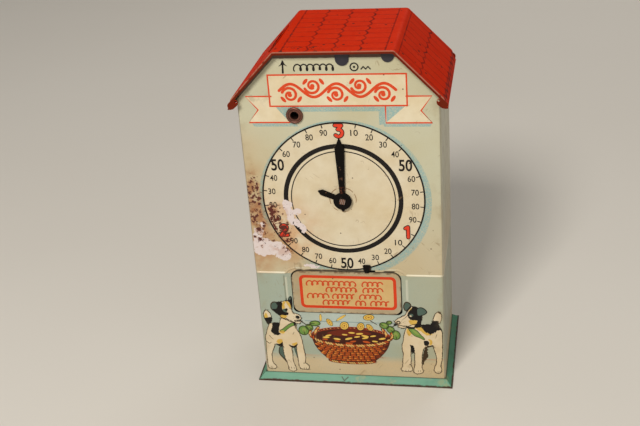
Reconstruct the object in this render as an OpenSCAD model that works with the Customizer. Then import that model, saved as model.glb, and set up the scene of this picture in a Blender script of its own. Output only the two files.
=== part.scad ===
// Tin money box shaped like a small clock house.
// X runs across the front, +Y goes to the back and +Z is up. The origin is on the ground under the
// middle of the box, and the front faces -Y.

/* [Case] */
// Width of the case
body_w = 80; // [78:0.5:84]
// Depth of the case
body_d = 52; // [50:0.5:58]
// Sheet thickness of the case, roof and base
sheet = 0.5; // [0.4:0.05:0.6]
// Outside radius of the folded front corners
corner_r = 1.2; // [0.8:0.1:2]

/* [Roof] */
// Height of the flat roof top above the ground
roof_top = 152.4; // [150:0.1:156]
// Half the width of the flat roof top
roof_flat = 23.3; // [23:0.1:24.5]
// Half the width of the roof where the eaves bend down
eave_x = 41.4; // [41.2:0.1:43]
// Height of the eave bend
eave_z = 133.6; // [132:0.1:135]
// Outside radius of the roof's bends
bend_r = 2; // [1.9:0.1:3]
// How far the roof reaches past the front and back
overhang = 3.2; // [2.6:0.1:5]
// Depth of the turned-down front and back edges
rim_depth = 1.2; // [1:0.1:2]

/* [Base] */
// Height of the sloped skirt
skirt_h = 3; // [2.5:0.1:4]
// How far the skirt flares out past the case
skirt_flare = 3.1; // [2.5:0.1:3.15]

/* [Dial] */
// Height of the pointer axle
dial_z = 89.1; // [88:0.1:90]
// Length of the long hand from the axle
long_hand_len = 27; // [22:0.5:30]
// Length of the short hand from the axle
short_hand_len = 10.8; // [8:0.2:14]
// Number of ratchet teeth, one for each coin
teeth = 30; // [30:10:60]
// Tip radius of the ratchet wheel
wheel_r = 15; // [14:0.1:15.1]

/* [Door] */
// Distance of the door's middle from the middle of the case
door_x = -1.2; // [-1.6:0.1:0]
// Width of the door panel
door_w = 46.4; // [44:0.2:47]
// Height of the door's lower edge above the ground
door_bottom = 35.2; // [35.1:0.1:35.4]
// Height of the door's top edge above the ground
door_top = 55.2; // [55:0.1:55.3]
// Corner radius of the door
door_r = 3.5; // [2:0.1:4]

/* [Coin slot] */
// Length of the coin slot
slot_len = 22.5; // [22:0.5:24]
// Width of the coin slot
slot_w = 2.4; // [2.2:0.1:2.6]
// Distance of the slot from the middle of the box
slot_x = 25.9; // [25.7:0.1:26.2]

/* [Hidden] */
$fn = 64;
eps = 0.01;
run = 0.05; // radial running clearance of a pivot
front = -body_d / 2;
back = body_d / 2;
inner_front = front + sheet;
inner_x = body_w / 2 - sheet;
shell_bottom = sheet;

// roof outline, seen from the front
lip_x = eave_x + 1.6;
lip_z = eave_z - 4.3;
lip_fold = 1.4;
roof_line = concat(
    [[-eave_x, eave_z]],
    bend([-eave_x, eave_z], [-roof_flat, roof_top], [roof_flat, roof_top], bend_r),
    bend([-roof_flat, roof_top], [roof_flat, roof_top], [eave_x, eave_z], bend_r),
    [[eave_x, eave_z]]
);
knees = [for (i = [1:len(roof_line) - 2]) roof_line[i]];
roof_full_line = concat(
    [[lip_fold - lip_x, lip_z], [-lip_x, lip_z]],
    bend([-lip_x, lip_z], [-eave_x, eave_z], [-roof_flat, roof_top], bend_r),
    knees,
    bend([roof_flat, roof_top], [eave_x, eave_z], [lip_x, lip_z], bend_r),
    [[lip_x, lip_z], [lip_x - lip_fold, lip_z]]
);
slot_y = -3.75;
slot_rim = 0.8;
slot_rim_h = 0.4;

// mechanism layers, front to back
plate_t = 0.8;
plate_y = inner_front;
plate_back = plate_y + plate_t;
wheel_y = plate_back + 1.1;
lever_y = wheel_y + plate_t + 0.3;
lever_back = lever_y + plate_t;
hand_t = 0.4;
hand_gap = 0.35;
hand_y = front - hand_gap - 2 * hand_t;

// pivots, as x and z
dial = [0, dial_z];
eyelet = [-17, 125.8];
eyelet_r = 2.35;
eyelet_bore = 1.7;
pawl_pivot = [-14.5, 106.5];
pawl_tip = [-9, 102];
latch_pivot = [8.05, 71];
axle_r = 1.5;
bush_r = 2.6;
latch_pin_r = 1.2;
pawl_pin_r = 0.9;
hand_bore = 1.2;
washer_t = 0.25;
cap_t = 0.5; // disc in front of the hands
tooth_depth = 1.6;
thin_wire_r = 0.16;
wire_r = 0.22;
pin_circle = 11.5;
pin_past_nose = 7.5;
tab_tops = 150.4;
tabs = [[3.1, 5.3, 145.8], [20.5, 4.9, 147]]; // x, width and lowest point of each hanging tab

// door and its hinge
hinge_y = front + 1.4;
hinge_z = door_bottom + 2.6;
roll_r = 1.8;
pin_r = 0.7;
door_front = hinge_y - roll_r;
opening_bottom = door_bottom - 0.6;
opening_top = door_top + 0.5;
opening_foot_r = 2.2; // lower corners, which the swinging door needs fuller than its own
notch_x = [6.9, 11.6]; // room for the latch neck and its swing
notch_top = door_top + 1.2;
catch_x = [6.9, 8.2];
door_gap = 0.4;
bead_r = 0.55;
bead_sink = 0.25;
bead_x = door_w / 2 + 2.6; // from the door's middle
bead_top = 54.2;
bead_low = 42;
bead_turn = 5; // radius round the door's top corner

// base
base_rim = 6;
floor_z = 1.2;

// ---- shared geometry ----

function inward(v) = [v[1], -v[0]] / norm(v);
function unit(v) = v / norm(v);

// points of the arc that rounds the corner b between a and c
function bend(a, b, c, r, steps = 5) =
    let (
        u = unit(a - b),
        v = unit(c - b),
        half = acos(u * v) / 2,
        centre = b + unit(u + v) * r / sin(half),
        from = b + u * r / tan(half) - centre,
        side = sign(u[1] * v[0] - u[0] * v[1]),
        turn = side * (180 - 2 * half)
    )
    [
        for (i = [0:steps])
            let (t = turn * i / steps)
            centre + [from[0] * cos(t) - from[1] * sin(t), from[0] * sin(t) + from[1] * cos(t)]
    ];

function reversed(p) = [for (i = [len(p) - 1:-1:0]) p[i]];

// the same line moved a distance towards the inside of the house
function moved_in(p, t) = [
    for (i = [0:len(p) - 1])
        let (
            a = inward(i > 0 ? p[i] - p[i - 1] : p[1] - p[0]),
            b = inward(i < len(p) - 1 ? p[i + 1] - p[i] : p[i] - p[i - 1])
        )
        p[i] + t * (a + b) / (1 + a * b)
];
function strip(p, t) = concat(p, reversed(moved_in(p, t)));

// an outline in x and z made into a sheet from y0 towards the back
module upright(y0, t) {
    translate([0, y0 + t, 0]) rotate([90, 0, 0]) linear_extrude(t) children();
}

module rounded_rect(low, high, r) {
    translate(low + [r, 0]) square(high - low - [2 * r, 0]);
    translate(low + [0, r]) square(high - low - [0, 2 * r]);
    for (x = [low[0] + r, high[0] - r], z = [low[1] + r, high[1] - r]) translate([x, z]) circle(r);
}

module disc_at(p, y0, t, r) {
    translate([p[0], y0 + t, p[1]]) rotate([90, 0, 0]) cylinder(h = t, r = r);
}

module link(a, b, width) {
    translate(a) circle(d = width);
    translate(b) circle(d = width);
    translate(a)
        rotate(atan2(b[1] - a[1], b[0] - a[0]))
            translate([0, -width / 2]) square([norm(b - a), width]);
}

module block(low, high) {
    translate(low) cube(high - low);
}

// a wire coil wound about an axis along Z
module coil(mean_r, wire_r, pitch, turns) {
    sides = 6;
    steps = round(turns * 12);
    points = [
        for (i = [0:steps], k = [0:sides - 1])
            let (
                turn = 360 * turns * i / steps,
                side = 360 * k / sides,
                r = mean_r + wire_r * cos(side)
            )
            [r * cos(turn), r * sin(turn), pitch * turn / 360 + wire_r * sin(side)]
    ];
    walls = [
        for (i = [0:steps - 1], k = [0:sides - 1])
            let (a = i * sides + k, b = i * sides + (k + 1) % sides)
            [a, b, b + sides, a + sides]
    ];
    ends = [
        [for (k = [sides - 1:-1:0]) k],
        [for (k = [0:sides - 1]) steps * sides + k]
    ];
    polyhedron(points, concat(walls, ends), convexity = 10);
}

module under_roof() {
    line = moved_in(roof_line, sheet);
    polygon(concat(line, [[line[len(line) - 1][0], 0], [line[0][0], 0]]));
}

// ---- case ----

module door_opening() {
    half = door_w / 2 + door_gap;
    left = door_x - half;
    right = door_x + half;
    upright(front - 1, 4) {
        rounded_rect([left, opening_bottom], [right, opening_top], door_r);
        rounded_rect([left, opening_bottom], [right, hinge_z + 4], opening_foot_r);
        translate([notch_x[0], door_top]) square([notch_x[1] - notch_x[0], notch_top - door_top]);
    }
}

// a pressed line from the side edge that climbs round the door's top corner, and a fainter one
// beside the door
module case_bead(side) {
    corner = [door_x + side * (door_w / 2 - 2), front + bead_sink, door_top - door_r];
    sweep = acos((bead_top - corner[2]) / bead_turn);
    start_x = abs(corner[0]) + bead_turn * sin(sweep);
    translate([side * start_x, corner[1], bead_top])
        rotate([0, side * 90, 0]) cylinder(h = body_w / 2 - corner_r - start_x, r = bead_r);
    translate(corner)
        rotate([90, 0, 0]) rotate([0, 0, side > 0 ? 90 - sweep : 90])
            rotate_extrude(angle = sweep) translate([bead_turn, 0]) circle(bead_r);
    translate([door_x + side * bead_x, corner[1] + 0.15, bead_low])
        cylinder(h = bead_top - 2.5 - bead_low, r = bead_r);
}

module body_shell() {
    hem_z = 131;
    color([0.72, 0.69, 0.57]) difference() {
        union() {
            intersection() {
                linear_extrude(roof_top) difference() {
                    rounded_rect([-body_w / 2, front], [body_w / 2, back + 2], corner_r);
                    rounded_rect([-inner_x, inner_front], [inner_x, back + 3], corner_r - sheet);
                    translate([-body_w, back]) square([2 * body_w, 4]);
                }
                upright(front - 1, body_d + 2) under_roof();
                block([-body_w, front - 1, shell_bottom], [body_w, back + 1, roof_top]);
            }
            for (side = [-1, 1]) {
                translate([side * (body_w / 2 + 0.6), 0, hem_z])
                    cube([1.2, body_d - 6, sheet], center = true);
                intersection() {
                    case_bead(side);
                    block([-body_w, front - 1, 0], [body_w, inner_front - eps, roof_top]);
                }
            }
        }
        door_opening();
        disc_at(dial, front - 1, 3, axle_r + 0.5);
        disc_at(eyelet, front - 1, 3, eyelet_r + run);
        for (t = tabs)
            block([t[0] - t[1] / 2 - 0.2, front - 1, tab_tops - 0.4],
                [t[0] + t[1] / 2 + 0.2, inner_front + 1, roof_top]);
    }
}

module back_panel() {
    flange = 5;
    color([0.66, 0.66, 0.56]) intersection() {
        union() {
            block([-inner_x, back - sheet, shell_bottom], [inner_x, back, roof_top]);
            for (x = [-inner_x, inner_x - sheet])
                block([x, back - sheet - flange, base_rim + 0.2], [x + sheet, back, roof_top]);
        }
        upright(front, body_d + 1) under_roof();
    }
}

module roof() {
    slot_low = [-slot_x - slot_w / 2, slot_y - slot_len / 2];
    slot_high = [-slot_x + slot_w / 2, slot_y + slot_len / 2];
    rim = [slot_rim, slot_rim];
    depth = body_d + 2 * overhang;
    color([0.75, 0.17, 0.05]) difference() {
        union() {
            upright(-depth / 2, depth) polygon(strip(roof_full_line, sheet));
            for (y0 = [-depth / 2, depth / 2 - sheet])
                upright(y0, sheet) {
                    polygon(strip(roof_line, rim_depth));
                    for (side = [-1, 1])
                        link([side * (eave_x - 1.2), eave_z - 1.7], [side * (lip_x - 1.6), lip_z + 1.6], 3);
                }
            intersection() {
                upright(-depth / 2, depth)
                    polygon(strip(moved_in(roof_line, -slot_rim_h), slot_rim_h + sheet / 2));
                translate([0, 0, eave_z]) linear_extrude(roof_top)
                    rounded_rect(slot_low - rim, slot_high + rim, slot_rim);
            }
        }
        translate([0, 0, eave_z]) linear_extrude(roof_top)
            rounded_rect(slot_low, slot_high, slot_w / 3);
        for (side = [-1, 1]) disc_at([side * (eave_x - 1.9), eave_z - 1.1], -depth, 2 * depth, 0.5);
    }
}

// ---- base ----

module frustum(low, high, z0, z1) {
    hull() {
        translate([-low[0] / 2, -low[1] / 2, z0]) cube([low[0], low[1], eps]);
        translate([-high[0] / 2, -high[1] / 2, z1 - eps]) cube([high[0], high[1], eps]);
    }
}

module base_skirt() {
    top = [body_w, body_d];
    low = top + 2 * [skirt_flare, skirt_flare];
    wall = sheet * sqrt(2);
    hem = 1.6;
    color([0.33, 0.5, 0.42]) difference() {
        union() {
            difference() {
                frustum(low, top + [0.4, 0.4], 0, skirt_h);
                frustum(low - 2 * [wall, wall], top + [0.4, 0.4] - 2 * [wall, wall], -eps, skirt_h + eps);
            }
            difference() {
                translate([-low[0] / 2, -low[1] / 2, 0]) cube([low[0], low[1], sheet]);
                frustum(low - 2 * [hem, hem], low - 2 * [hem, hem], -1, 1);
            }
            translate([-top[0] / 2 - 0.2, -top[1] / 2 - 0.2, skirt_h - 1])
                cube([top[0] + 0.4, top[1] + 0.4, 1]);
        }
        block([-body_w / 2, front, -1], [body_w / 2, back, skirt_h + 1]);
        difference() {
            block([-low[0], -low[1], sheet], [low[0], low[1], skirt_h + 1]);
            frustum(low, top + [0.4, 0.4], 0, skirt_h);
        }
    }
}

module base_plate() {
    low = [-inner_x, inner_front];
    high = [inner_x, back - sheet];
    inset = [sheet, sheet];
    color([0.62, 0.6, 0.55]) difference() {
        translate([0, 0, floor_z]) linear_extrude(base_rim - floor_z)
            rounded_rect(low, high, corner_r - sheet);
        translate([0, 0, floor_z + sheet]) linear_extrude(base_rim)
            rounded_rect(low + inset, high - inset, corner_r - sheet);
    }
}

// ---- fixed mechanism ----

module mechanism_plate() {
    color([0.13, 0.13, 0.15]) difference() {
        union() {
            upright(plate_y, plate_t) {
                rounded_rect([-27, 104], [27, 146], 3);
                rounded_rect([-20, 62], [20, 110], 3);
            }
            for (t = tabs) {
                low = t[0] - t[1] / 2;
                high = t[0] + t[1] / 2;
                block([low, plate_y, 144], [high, plate_back, tab_tops]);
                block([low, front - 0.4, tab_tops - 0.4], [high, plate_back, tab_tops]);
                upright(front - 0.4, 0.4) {
                    translate([low, t[2] + t[1] / 2]) square([t[1], tab_tops - t[2] - t[1] / 2]);
                    translate([t[0], t[2] + t[1] / 2]) circle(d = t[1]);
                }
            }
            block([18.8, plate_back - eps, 101], [20, wheel_y + plate_t, 107]);
        }
        disc_at(dial, plate_y - 1, 3, bush_r);
        disc_at(eyelet, plate_y - 1, 3, eyelet_r + run);
    }
}

module lever_eyelet() {
    tube = [front - 1.1, lever_back + 2.6];
    color([0.45, 0.27, 0.17]) difference() {
        union() {
            disc_at(eyelet, tube[0] + 0.4, tube[1] - tube[0] - 0.4, eyelet_r);
            disc_at(eyelet, tube[1] - 0.5, 0.5, 3.3);
            translate([eyelet[0], front - 0.55, eyelet[1]])
                rotate([90, 0, 0]) rotate_extrude() translate([eyelet_r + 0.5, 0]) circle(0.55);
        }
        disc_at(eyelet, front - 3, 12, eyelet_bore);
    }
}

module axle_bush() {
    color([0.75, 0.6, 0.3]) difference() {
        union() {
            disc_at(dial, plate_y, plate_t + 0.1, bush_r);
            disc_at(dial, plate_back, 0.6, 3.8);
        }
        disc_at(dial, plate_y - 1, 4, axle_r + run);
    }
}

module coin_chute() {
    half = slot_w / 2;
    y = [slot_y - slot_len / 2 - 1, slot_y + slot_len / 2 + 1];
    z = [113, 146.5];
    color([0.6, 0.6, 0.58]) {
        difference() {
            block([-slot_x - half - sheet, y[0] - sheet, z[0]],
                [-slot_x + half + sheet, y[1] + sheet, z[1]]);
            block([-slot_x - half, y[0], z[0] - 1], [-slot_x + half, y[1], z[1] + 1]);
            block([-slot_x, -12.5, 114], [-slot_x + 3, 0.5, 123]);
        }
        block([-slot_x + half, plate_back, 134], [-slot_x + half + sheet, y[0], 144]);
        block([-slot_x + half, plate_back, 134], [-15, plate_back + sheet, 144]);
    }
}

module chute_rivets() {
    color([0.5, 0.48, 0.45])
        for (z = [136.5, 141.5]) {
            disc_at([-19, z], plate_back + sheet, 0.6, 1.4);
        }
}

module click_spring() {
    color([0.55, 0.56, 0.6])
        upright(wheel_y, plate_t)
            polygon([[18.8, 107], [18.4, 107], [18.4, 101.4], [15.6, 90.5], [16, 90.3], [18.8, 101.2]]);
}

module stop_pins() {
    color([0.5, 0.5, 0.52]) {
        disc_at([-20.4, 113], plate_back, lever_back - plate_back + 0.4, 0.9);
        disc_at([4.6, 62.6], plate_back, lever_back - plate_back + 0.4, 0.9);
    }
}

module lever_spring() {
    mean_r = 2.95;
    color([0.5, 0.52, 0.56]) {
        translate([eyelet[0], lever_back + 1.9, eyelet[1]])
            rotate([90, 0, 0]) coil(mean_r, wire_r, 0.5, 2.75);
        translate([eyelet[0], lever_back + 0.52, eyelet[1] - mean_r])
            rotate([0, -90, 0]) cylinder(h = 6, r = wire_r);
    }
}

module latch_post() {
    color([0.55, 0.5, 0.42]) {
        disc_at(latch_pivot, plate_back, lever_back - plate_back + 0.4, latch_pin_r);
        disc_at(latch_pivot, lever_back + 0.3, 0.6, 2.2);
        disc_at(latch_pivot, plate_back, lever_y - plate_back - 0.3, 2.2);
    }
}

module latch_spring() {
    anchor = [16.5, 66];
    hook = [10.9, 63];
    pitch = 0.5;
    color([0.5, 0.52, 0.56]) {
        disc_at(anchor, plate_back, lever_back - plate_back, 0.8);
        translate([anchor[0], lever_y + plate_t / 2, anchor[1]])
            rotate([0, atan2(hook[0] - anchor[0], hook[1] - anchor[1]), 0]) {
                translate([0, 0, 0.5]) coil(0.75, thin_wire_r, pitch, norm(hook - anchor) / pitch - 3);
                cylinder(h = 0.8, r = thin_wire_r);
            }
    }
}

module pin_bore(clearance) {
    translate([-body_w, hinge_y, hinge_z])
        rotate([0, 90, 0]) cylinder(h = 2 * body_w, r = pin_r + clearance);
}

module hinge_bracket() {
    ear_x = 21.2;
    ear_t = 0.8;
    arm_back = hinge_y + 4.1; // behind the swing of the door's lower edge
    post_t = 1.2;
    color([0.4, 0.4, 0.42]) translate([door_x, 0, 0]) {
        upright(inner_front, plate_t) rounded_rect([-24, 27.5], [24, 33], 1.5);
        for (side = [-1, 1])
            difference() {
                translate([side > 0 ? ear_x : -ear_x - ear_t, 0, 0])
                    rotate([90, 0, 90]) linear_extrude(ear_t) {
                        translate([hinge_y, hinge_z]) circle(1.1);
                        translate([hinge_y, hinge_z - 0.9]) square([arm_back - hinge_y, 1.8]);
                        translate([arm_back - post_t, 31]) square([post_t, hinge_z - 31 + 0.9]);
                        translate([inner_front, 29.5]) square([arm_back - inner_front, 3]);
                    }
                pin_bore(0.02);
            }
    }
}

module hinge_pin() {
    reach = 22.4;
    color([0.6, 0.6, 0.62])
        translate([door_x - reach, hinge_y, hinge_z])
            rotate([0, 90, 0]) cylinder(h = 2 * reach, r = pin_r);
}

module door_spring() {
    half = 5.5;
    wire = 0.25;
    mean_r = pin_r + wire + 0.1;
    pitch = 0.75;
    color([0.5, 0.52, 0.56]) {
        translate([door_x - half, hinge_y, hinge_z])
            rotate([0, 90, 0]) coil(mean_r, wire, pitch, 2 * half / pitch);
        translate([door_x - half, hinge_y, hinge_z]) rotate([0, 90, 0])
            translate([-mean_r, 0, 0]) rotate([-90, 0, 0]) cylinder(h = 4.5, r = wire);
    }
}

// ---- door ----

module door_panel() {
    half = door_w / 2;
    inner = half - sheet;
    rim_back = front + 0.8;
    knuckle = [8, 19.4];
    color([0.78, 0.3, 0.12]) difference() {
        translate([door_x, 0, 0]) {
            difference() {
                upright(door_front, rim_back - door_front)
                    rounded_rect([-half, door_bottom], [half, door_top], door_r);
                upright(door_front + sheet, 5)
                    rounded_rect([-inner, door_bottom - 5], [inner, door_top - sheet], door_r - sheet);
                block([-half - 1, door_front + sheet, 0], [half + 1, 0, hinge_z + 2.7]);
            }
            for (x = [-knuckle[1], knuckle[0]])
                translate([x, hinge_y, hinge_z])
                    rotate([0, 90, 0]) cylinder(h = knuckle[1] - knuckle[0], r = roll_r);
        }
        pin_bore(0.06);
    }
}

module door_catch() {
    y0 = door_front + sheet;
    lip_y = lever_back + 0.4;
    color([0.45, 0.45, 0.47]) {
        block([4.5, y0, 42], [10.6, y0 + sheet, 51.5]);
        block([catch_x[0], y0, 51], [catch_x[1], lip_y + sheet, 51.5]);
        block([catch_x[0], lip_y, 51], [catch_x[1], lip_y + sheet, 53.9]);
    }
}

module catch_rivets() {
    color([0.55, 0.53, 0.5])
        for (z = [44, 48.5]) disc_at([7.55, z], door_front + 2 * sheet, 0.6, 1.2);
}

// ---- latch ----

module latch_lever() {
    nose = dial - [0, pin_circle - 0.3];
    foot_z = 52.6;
    neck_z = [door_top + 0.35, door_top + 0.75];
    tab_y = front - 0.9;
    color([0.16, 0.13, 0.12]) difference() {
        union() {
            upright(lever_y, plate_t) {
                translate(latch_pivot) circle(3);
                link(latch_pivot, [8.05, foot_z + 6], 3);
                translate([7, foot_z]) square([2.1, 6]);
                link(latch_pivot, nose + [0.6, -3.1], 2.4);
                polygon([nose + [-0.25, 0], nose + [0.25, 0], nose + [1.8, -3], nose + [-0.6, -3]]);
            }
            block([7.3, tab_y, neck_z[0]], [8.8, lever_back, neck_z[1]]);
            block([7.3, tab_y, neck_z[0]], [8.8, tab_y + 0.5, 57]);
            upright(tab_y, 0.5) rounded_rect([6.7, 56.6], [9.9, 59.2], 0.7);
        }
        disc_at(latch_pivot, lever_y - 1, 4, latch_pin_r + run);
    }
}

// ---- coin lever and pawl ----

module coin_lever() {
    finger_end = -2;
    color([0.36, 0.36, 0.38]) difference() {
        union() {
            upright(lever_y, plate_t) {
                translate(eyelet) circle(4.6);
                link(eyelet, pawl_pivot, 4);
                link(eyelet, [-22.4, 120.3], 3.4);
            }
            upright(lever_y, finger_end - lever_y)
                polygon([[-23.7, 120.5], [-21.3, 121], [-21.3, 118.6], [-23.7, 118]]);
            upright(-11, finger_end + 11)
                polygon([[-25.9, 118.2], [-23.5, 120.5], [-23.5, 118], [-25.9, 117.4]]);
        }
        disc_at(eyelet, lever_y - 1, 3, eyelet_r + run);
        disc_at(pawl_pivot, lever_y - 1, 3, pawl_pin_r);
    }
}

module pawl_rivet() {
    color([0.6, 0.55, 0.45]) {
        disc_at(pawl_pivot, wheel_y - 0.2, lever_back - wheel_y + 0.2, pawl_pin_r);
        disc_at(pawl_pivot, wheel_y - 0.6, 0.4, 1.7);
        disc_at(pawl_pivot, lever_back, 0.5, 1.7);
    }
}

module pawl_spring() {
    color([0.5, 0.52, 0.56])
        upright(lever_back, 0.5)
            polygon([[-17.6, 115.8], [-17.2, 115.9], [-12.2, 107.6], [-12.5, 107.3]]);
}

module pawl() {
    color([0.4, 0.4, 0.43]) difference() {
        upright(wheel_y, plate_t) {
            translate(pawl_pivot) circle(2.2);
            polygon([
                pawl_pivot + [-0.9, -2], pawl_tip + [-0.9, 0.1], pawl_tip,
                pawl_tip + [0.2, 0.5], pawl_pivot + [1.6, 1.5]
            ]);
        }
        disc_at(pawl_pivot, wheel_y - 1, 3, pawl_pin_r + run);
    }
}

// ---- pointer shaft ----

module axle() {
    shoulder_y = hand_y + 2 * hand_t + washer_t;
    color([0.6, 0.45, 0.35]) {
        disc_at(dial, shoulder_y, lever_y + 1.6 - shoulder_y, axle_r);
        disc_at(dial, hand_y - 0.6, 2 * hand_t + 0.9, hand_bore);
        translate([dial[0], hand_y - 0.8, dial[1]]) rotate([0, 10, 0]) cube([2.2, 0.6, 2.2], center = true);
    }
}

// one tooth each step: a steep face on the trailing side and a long slope
module ratchet_wheel() {
    step = 360 / teeth;
    root_r = wheel_r - tooth_depth;
    color([0.62, 0.6, 0.5]) difference() {
        upright(wheel_y, plate_t)
            translate(dial)
                polygon([
                    for (i = [0:teeth - 1], r = [root_r, wheel_r])
                        r * [sin(i * step), cos(i * step)]
                ]);
        disc_at(dial, wheel_y - 1, 3, axle_r);
    }
}

module release_pin() {
    at = dial - pin_circle * [sin(pin_past_nose), cos(pin_past_nose)];
    color([0.6, 0.55, 0.45]) disc_at(at, wheel_y + plate_t, 1.8, 0.5);
}

module wheel_collar() {
    color([0.6, 0.55, 0.45]) difference() {
        disc_at(dial, wheel_y + plate_t, 1.4, 3);
        disc_at(dial, wheel_y, 4, axle_r);
    }
}

module long_hand() {
    widest = [1.95, 22.6];
    tail = 4.8;
    color([0.05, 0.05, 0.05]) difference() {
        union() {
            upright(hand_y, hand_t) translate(dial)
                polygon([
                    [-0.3, -tail], [-2.6, -1], [-1, 2], [-widest[0], widest[1]], [-0.25, long_hand_len],
                    [0.25, long_hand_len], widest, [1, 2], [2.6, -1], [0.3, -tail]
                ]);
            disc_at(dial, hand_y, hand_t, 3.3);
        }
        disc_at(dial, hand_y - 1, 3, hand_bore);
    }
}

module short_hand() {
    widest = 1.25;
    shoulder = short_hand_len - 1.6; // where the point starts
    color([0.05, 0.05, 0.05]) difference() {
        union() {
            upright(hand_y + hand_t, hand_t) translate(dial) rotate(157.5) {
                polygon([
                    [0, -1], [shoulder, -widest], [short_hand_len - 0.3, -0.35],
                    [short_hand_len, 0], [short_hand_len - 0.3, 0.35], [shoulder, widest], [0, 1]
                ]);
            }
            disc_at(dial, hand_y + hand_t, hand_t, 2.8);
        }
        disc_at(dial, hand_y - 1, 3, hand_bore);
    }
}

module hub_disc() {
    color([0.12, 0.1, 0.1]) difference() {
        disc_at(dial, hand_y - cap_t, cap_t, 3.75);
        disc_at(dial, hand_y - 1, 3, hand_bore);
    }
}

module spacer_washer() {
    color([0.5, 0.45, 0.4]) difference() {
        disc_at(dial, hand_y + 2 * hand_t, washer_t, 3.2);
        disc_at(dial, hand_y, 3, hand_bore);
    }
}

body_shell();
back_panel();
roof();
base_skirt();
base_plate();
mechanism_plate();
lever_eyelet();
axle_bush();
coin_chute();
chute_rivets();
click_spring();
stop_pins();
lever_spring();
latch_post();
latch_spring();
hinge_bracket();
hinge_pin();
door_spring();
door_panel();
door_catch();
catch_rivets();
latch_lever();
coin_lever();
pawl_rivet();
pawl_spring();
pawl();
axle();
ratchet_wheel();
release_pin();
wheel_collar();
long_hand();
short_hand();
hub_disc();
spacer_washer();
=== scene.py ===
"""Looks of the tin money box: lithographed tin, worn paint and small metal parts round the fixed frame."""

import functools
import math
import random

import bpy
from mathutils import Matrix, Vector
from mathutils.geometry import tessellate_polygon


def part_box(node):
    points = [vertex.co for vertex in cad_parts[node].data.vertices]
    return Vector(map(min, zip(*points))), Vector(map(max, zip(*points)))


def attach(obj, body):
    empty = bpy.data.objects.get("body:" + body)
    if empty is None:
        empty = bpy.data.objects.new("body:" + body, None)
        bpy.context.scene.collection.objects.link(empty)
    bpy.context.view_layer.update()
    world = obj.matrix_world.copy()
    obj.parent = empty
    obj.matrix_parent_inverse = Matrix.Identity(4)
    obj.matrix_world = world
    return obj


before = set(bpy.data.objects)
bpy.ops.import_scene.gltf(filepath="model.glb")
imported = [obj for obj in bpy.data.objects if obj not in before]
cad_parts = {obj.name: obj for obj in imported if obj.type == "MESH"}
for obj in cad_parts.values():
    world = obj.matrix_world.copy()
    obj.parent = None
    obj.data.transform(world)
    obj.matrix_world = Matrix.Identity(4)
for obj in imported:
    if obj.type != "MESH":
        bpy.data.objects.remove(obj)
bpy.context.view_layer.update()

MM = 0.001
WALL = -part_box("back_panel")[1].y / MM  # the case front, as far forward as the back panel is back
DOOR_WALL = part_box("door_panel")[0].y / MM
HALF_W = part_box("back_panel")[1].x / MM + 0.5
DOOR_LOW, DOOR_HIGH = (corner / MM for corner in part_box("door_panel"))
DOOR_X = (DOOR_LOW.x + DOOR_HIGH.x) / 2
DIAL = (0, 89.1)
RING = (0.0, 89.5)  # the ring of numbers sits a little high of the pointer
RING_R = 33.1
HALO, HALO_R = (0.6, 88.3), 35.3  # the dial's printed shadow, down and to the right of it
ROOF_FLAT = 23.3
ROOF_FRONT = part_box("roof")[0].y / MM
ROOF_TOP = 152.4
SLOPE_RISE, SLOPE_RUN = 0.72, 0.694  # unit direction down the roof's slopes: drop, and way outward
SLOPE_STRETCH = 1 / SLOPE_RUN  # distance along the slope for each step in x


def srgb(red, green, blue):
    """A colour given as it looks on screen, from 0 to 255, as linear values for a shader."""

    def linear(value):
        value /= 255
        return value / 12.92 if value <= 0.04045 else ((value + 0.055) / 1.055) ** 2.4

    return (linear(red), linear(green), linear(blue), 1)


CREAM = srgb(220, 211, 188)
BANNER_CREAM = srgb(226, 216, 190)
GROUND_TOP = srgb(190, 187, 160)
GROUND_TAN = srgb(192, 176, 143)
PALE_BLUE = srgb(176, 187, 178)
FLOOR_TAN = srgb(196, 177, 142)
STIPPLE_BLUE = srgb(132, 168, 168)
RED = srgb(219, 74, 32)
INK_BLACK = srgb(14, 9, 7)
BARE_PINK = srgb(226, 213, 210)
RUST = srgb(104, 48, 36)


# ---- node trees ----


def arithmetic(operation, swapped=False):
    """A method for Value that adds a maths node."""

    def method(self, other):
        return self.graph.math(operation, *((other, self) if swapped else (self, other)))

    return method


class Value:
    """One output of a node. Arithmetic with it adds nodes, so a mask is written as a * (1 - b)."""

    __add__, __radd__ = arithmetic("ADD"), arithmetic("ADD", True)
    __sub__, __rsub__ = arithmetic("SUBTRACT"), arithmetic("SUBTRACT", True)
    __mul__, __rmul__ = arithmetic("MULTIPLY"), arithmetic("MULTIPLY", True)
    __truediv__ = arithmetic("DIVIDE")

    def __init__(self, graph, socket):
        self.graph, self.socket = graph, socket

    def __abs__(self):
        return self.graph.math("ABSOLUTE", self)


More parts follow.
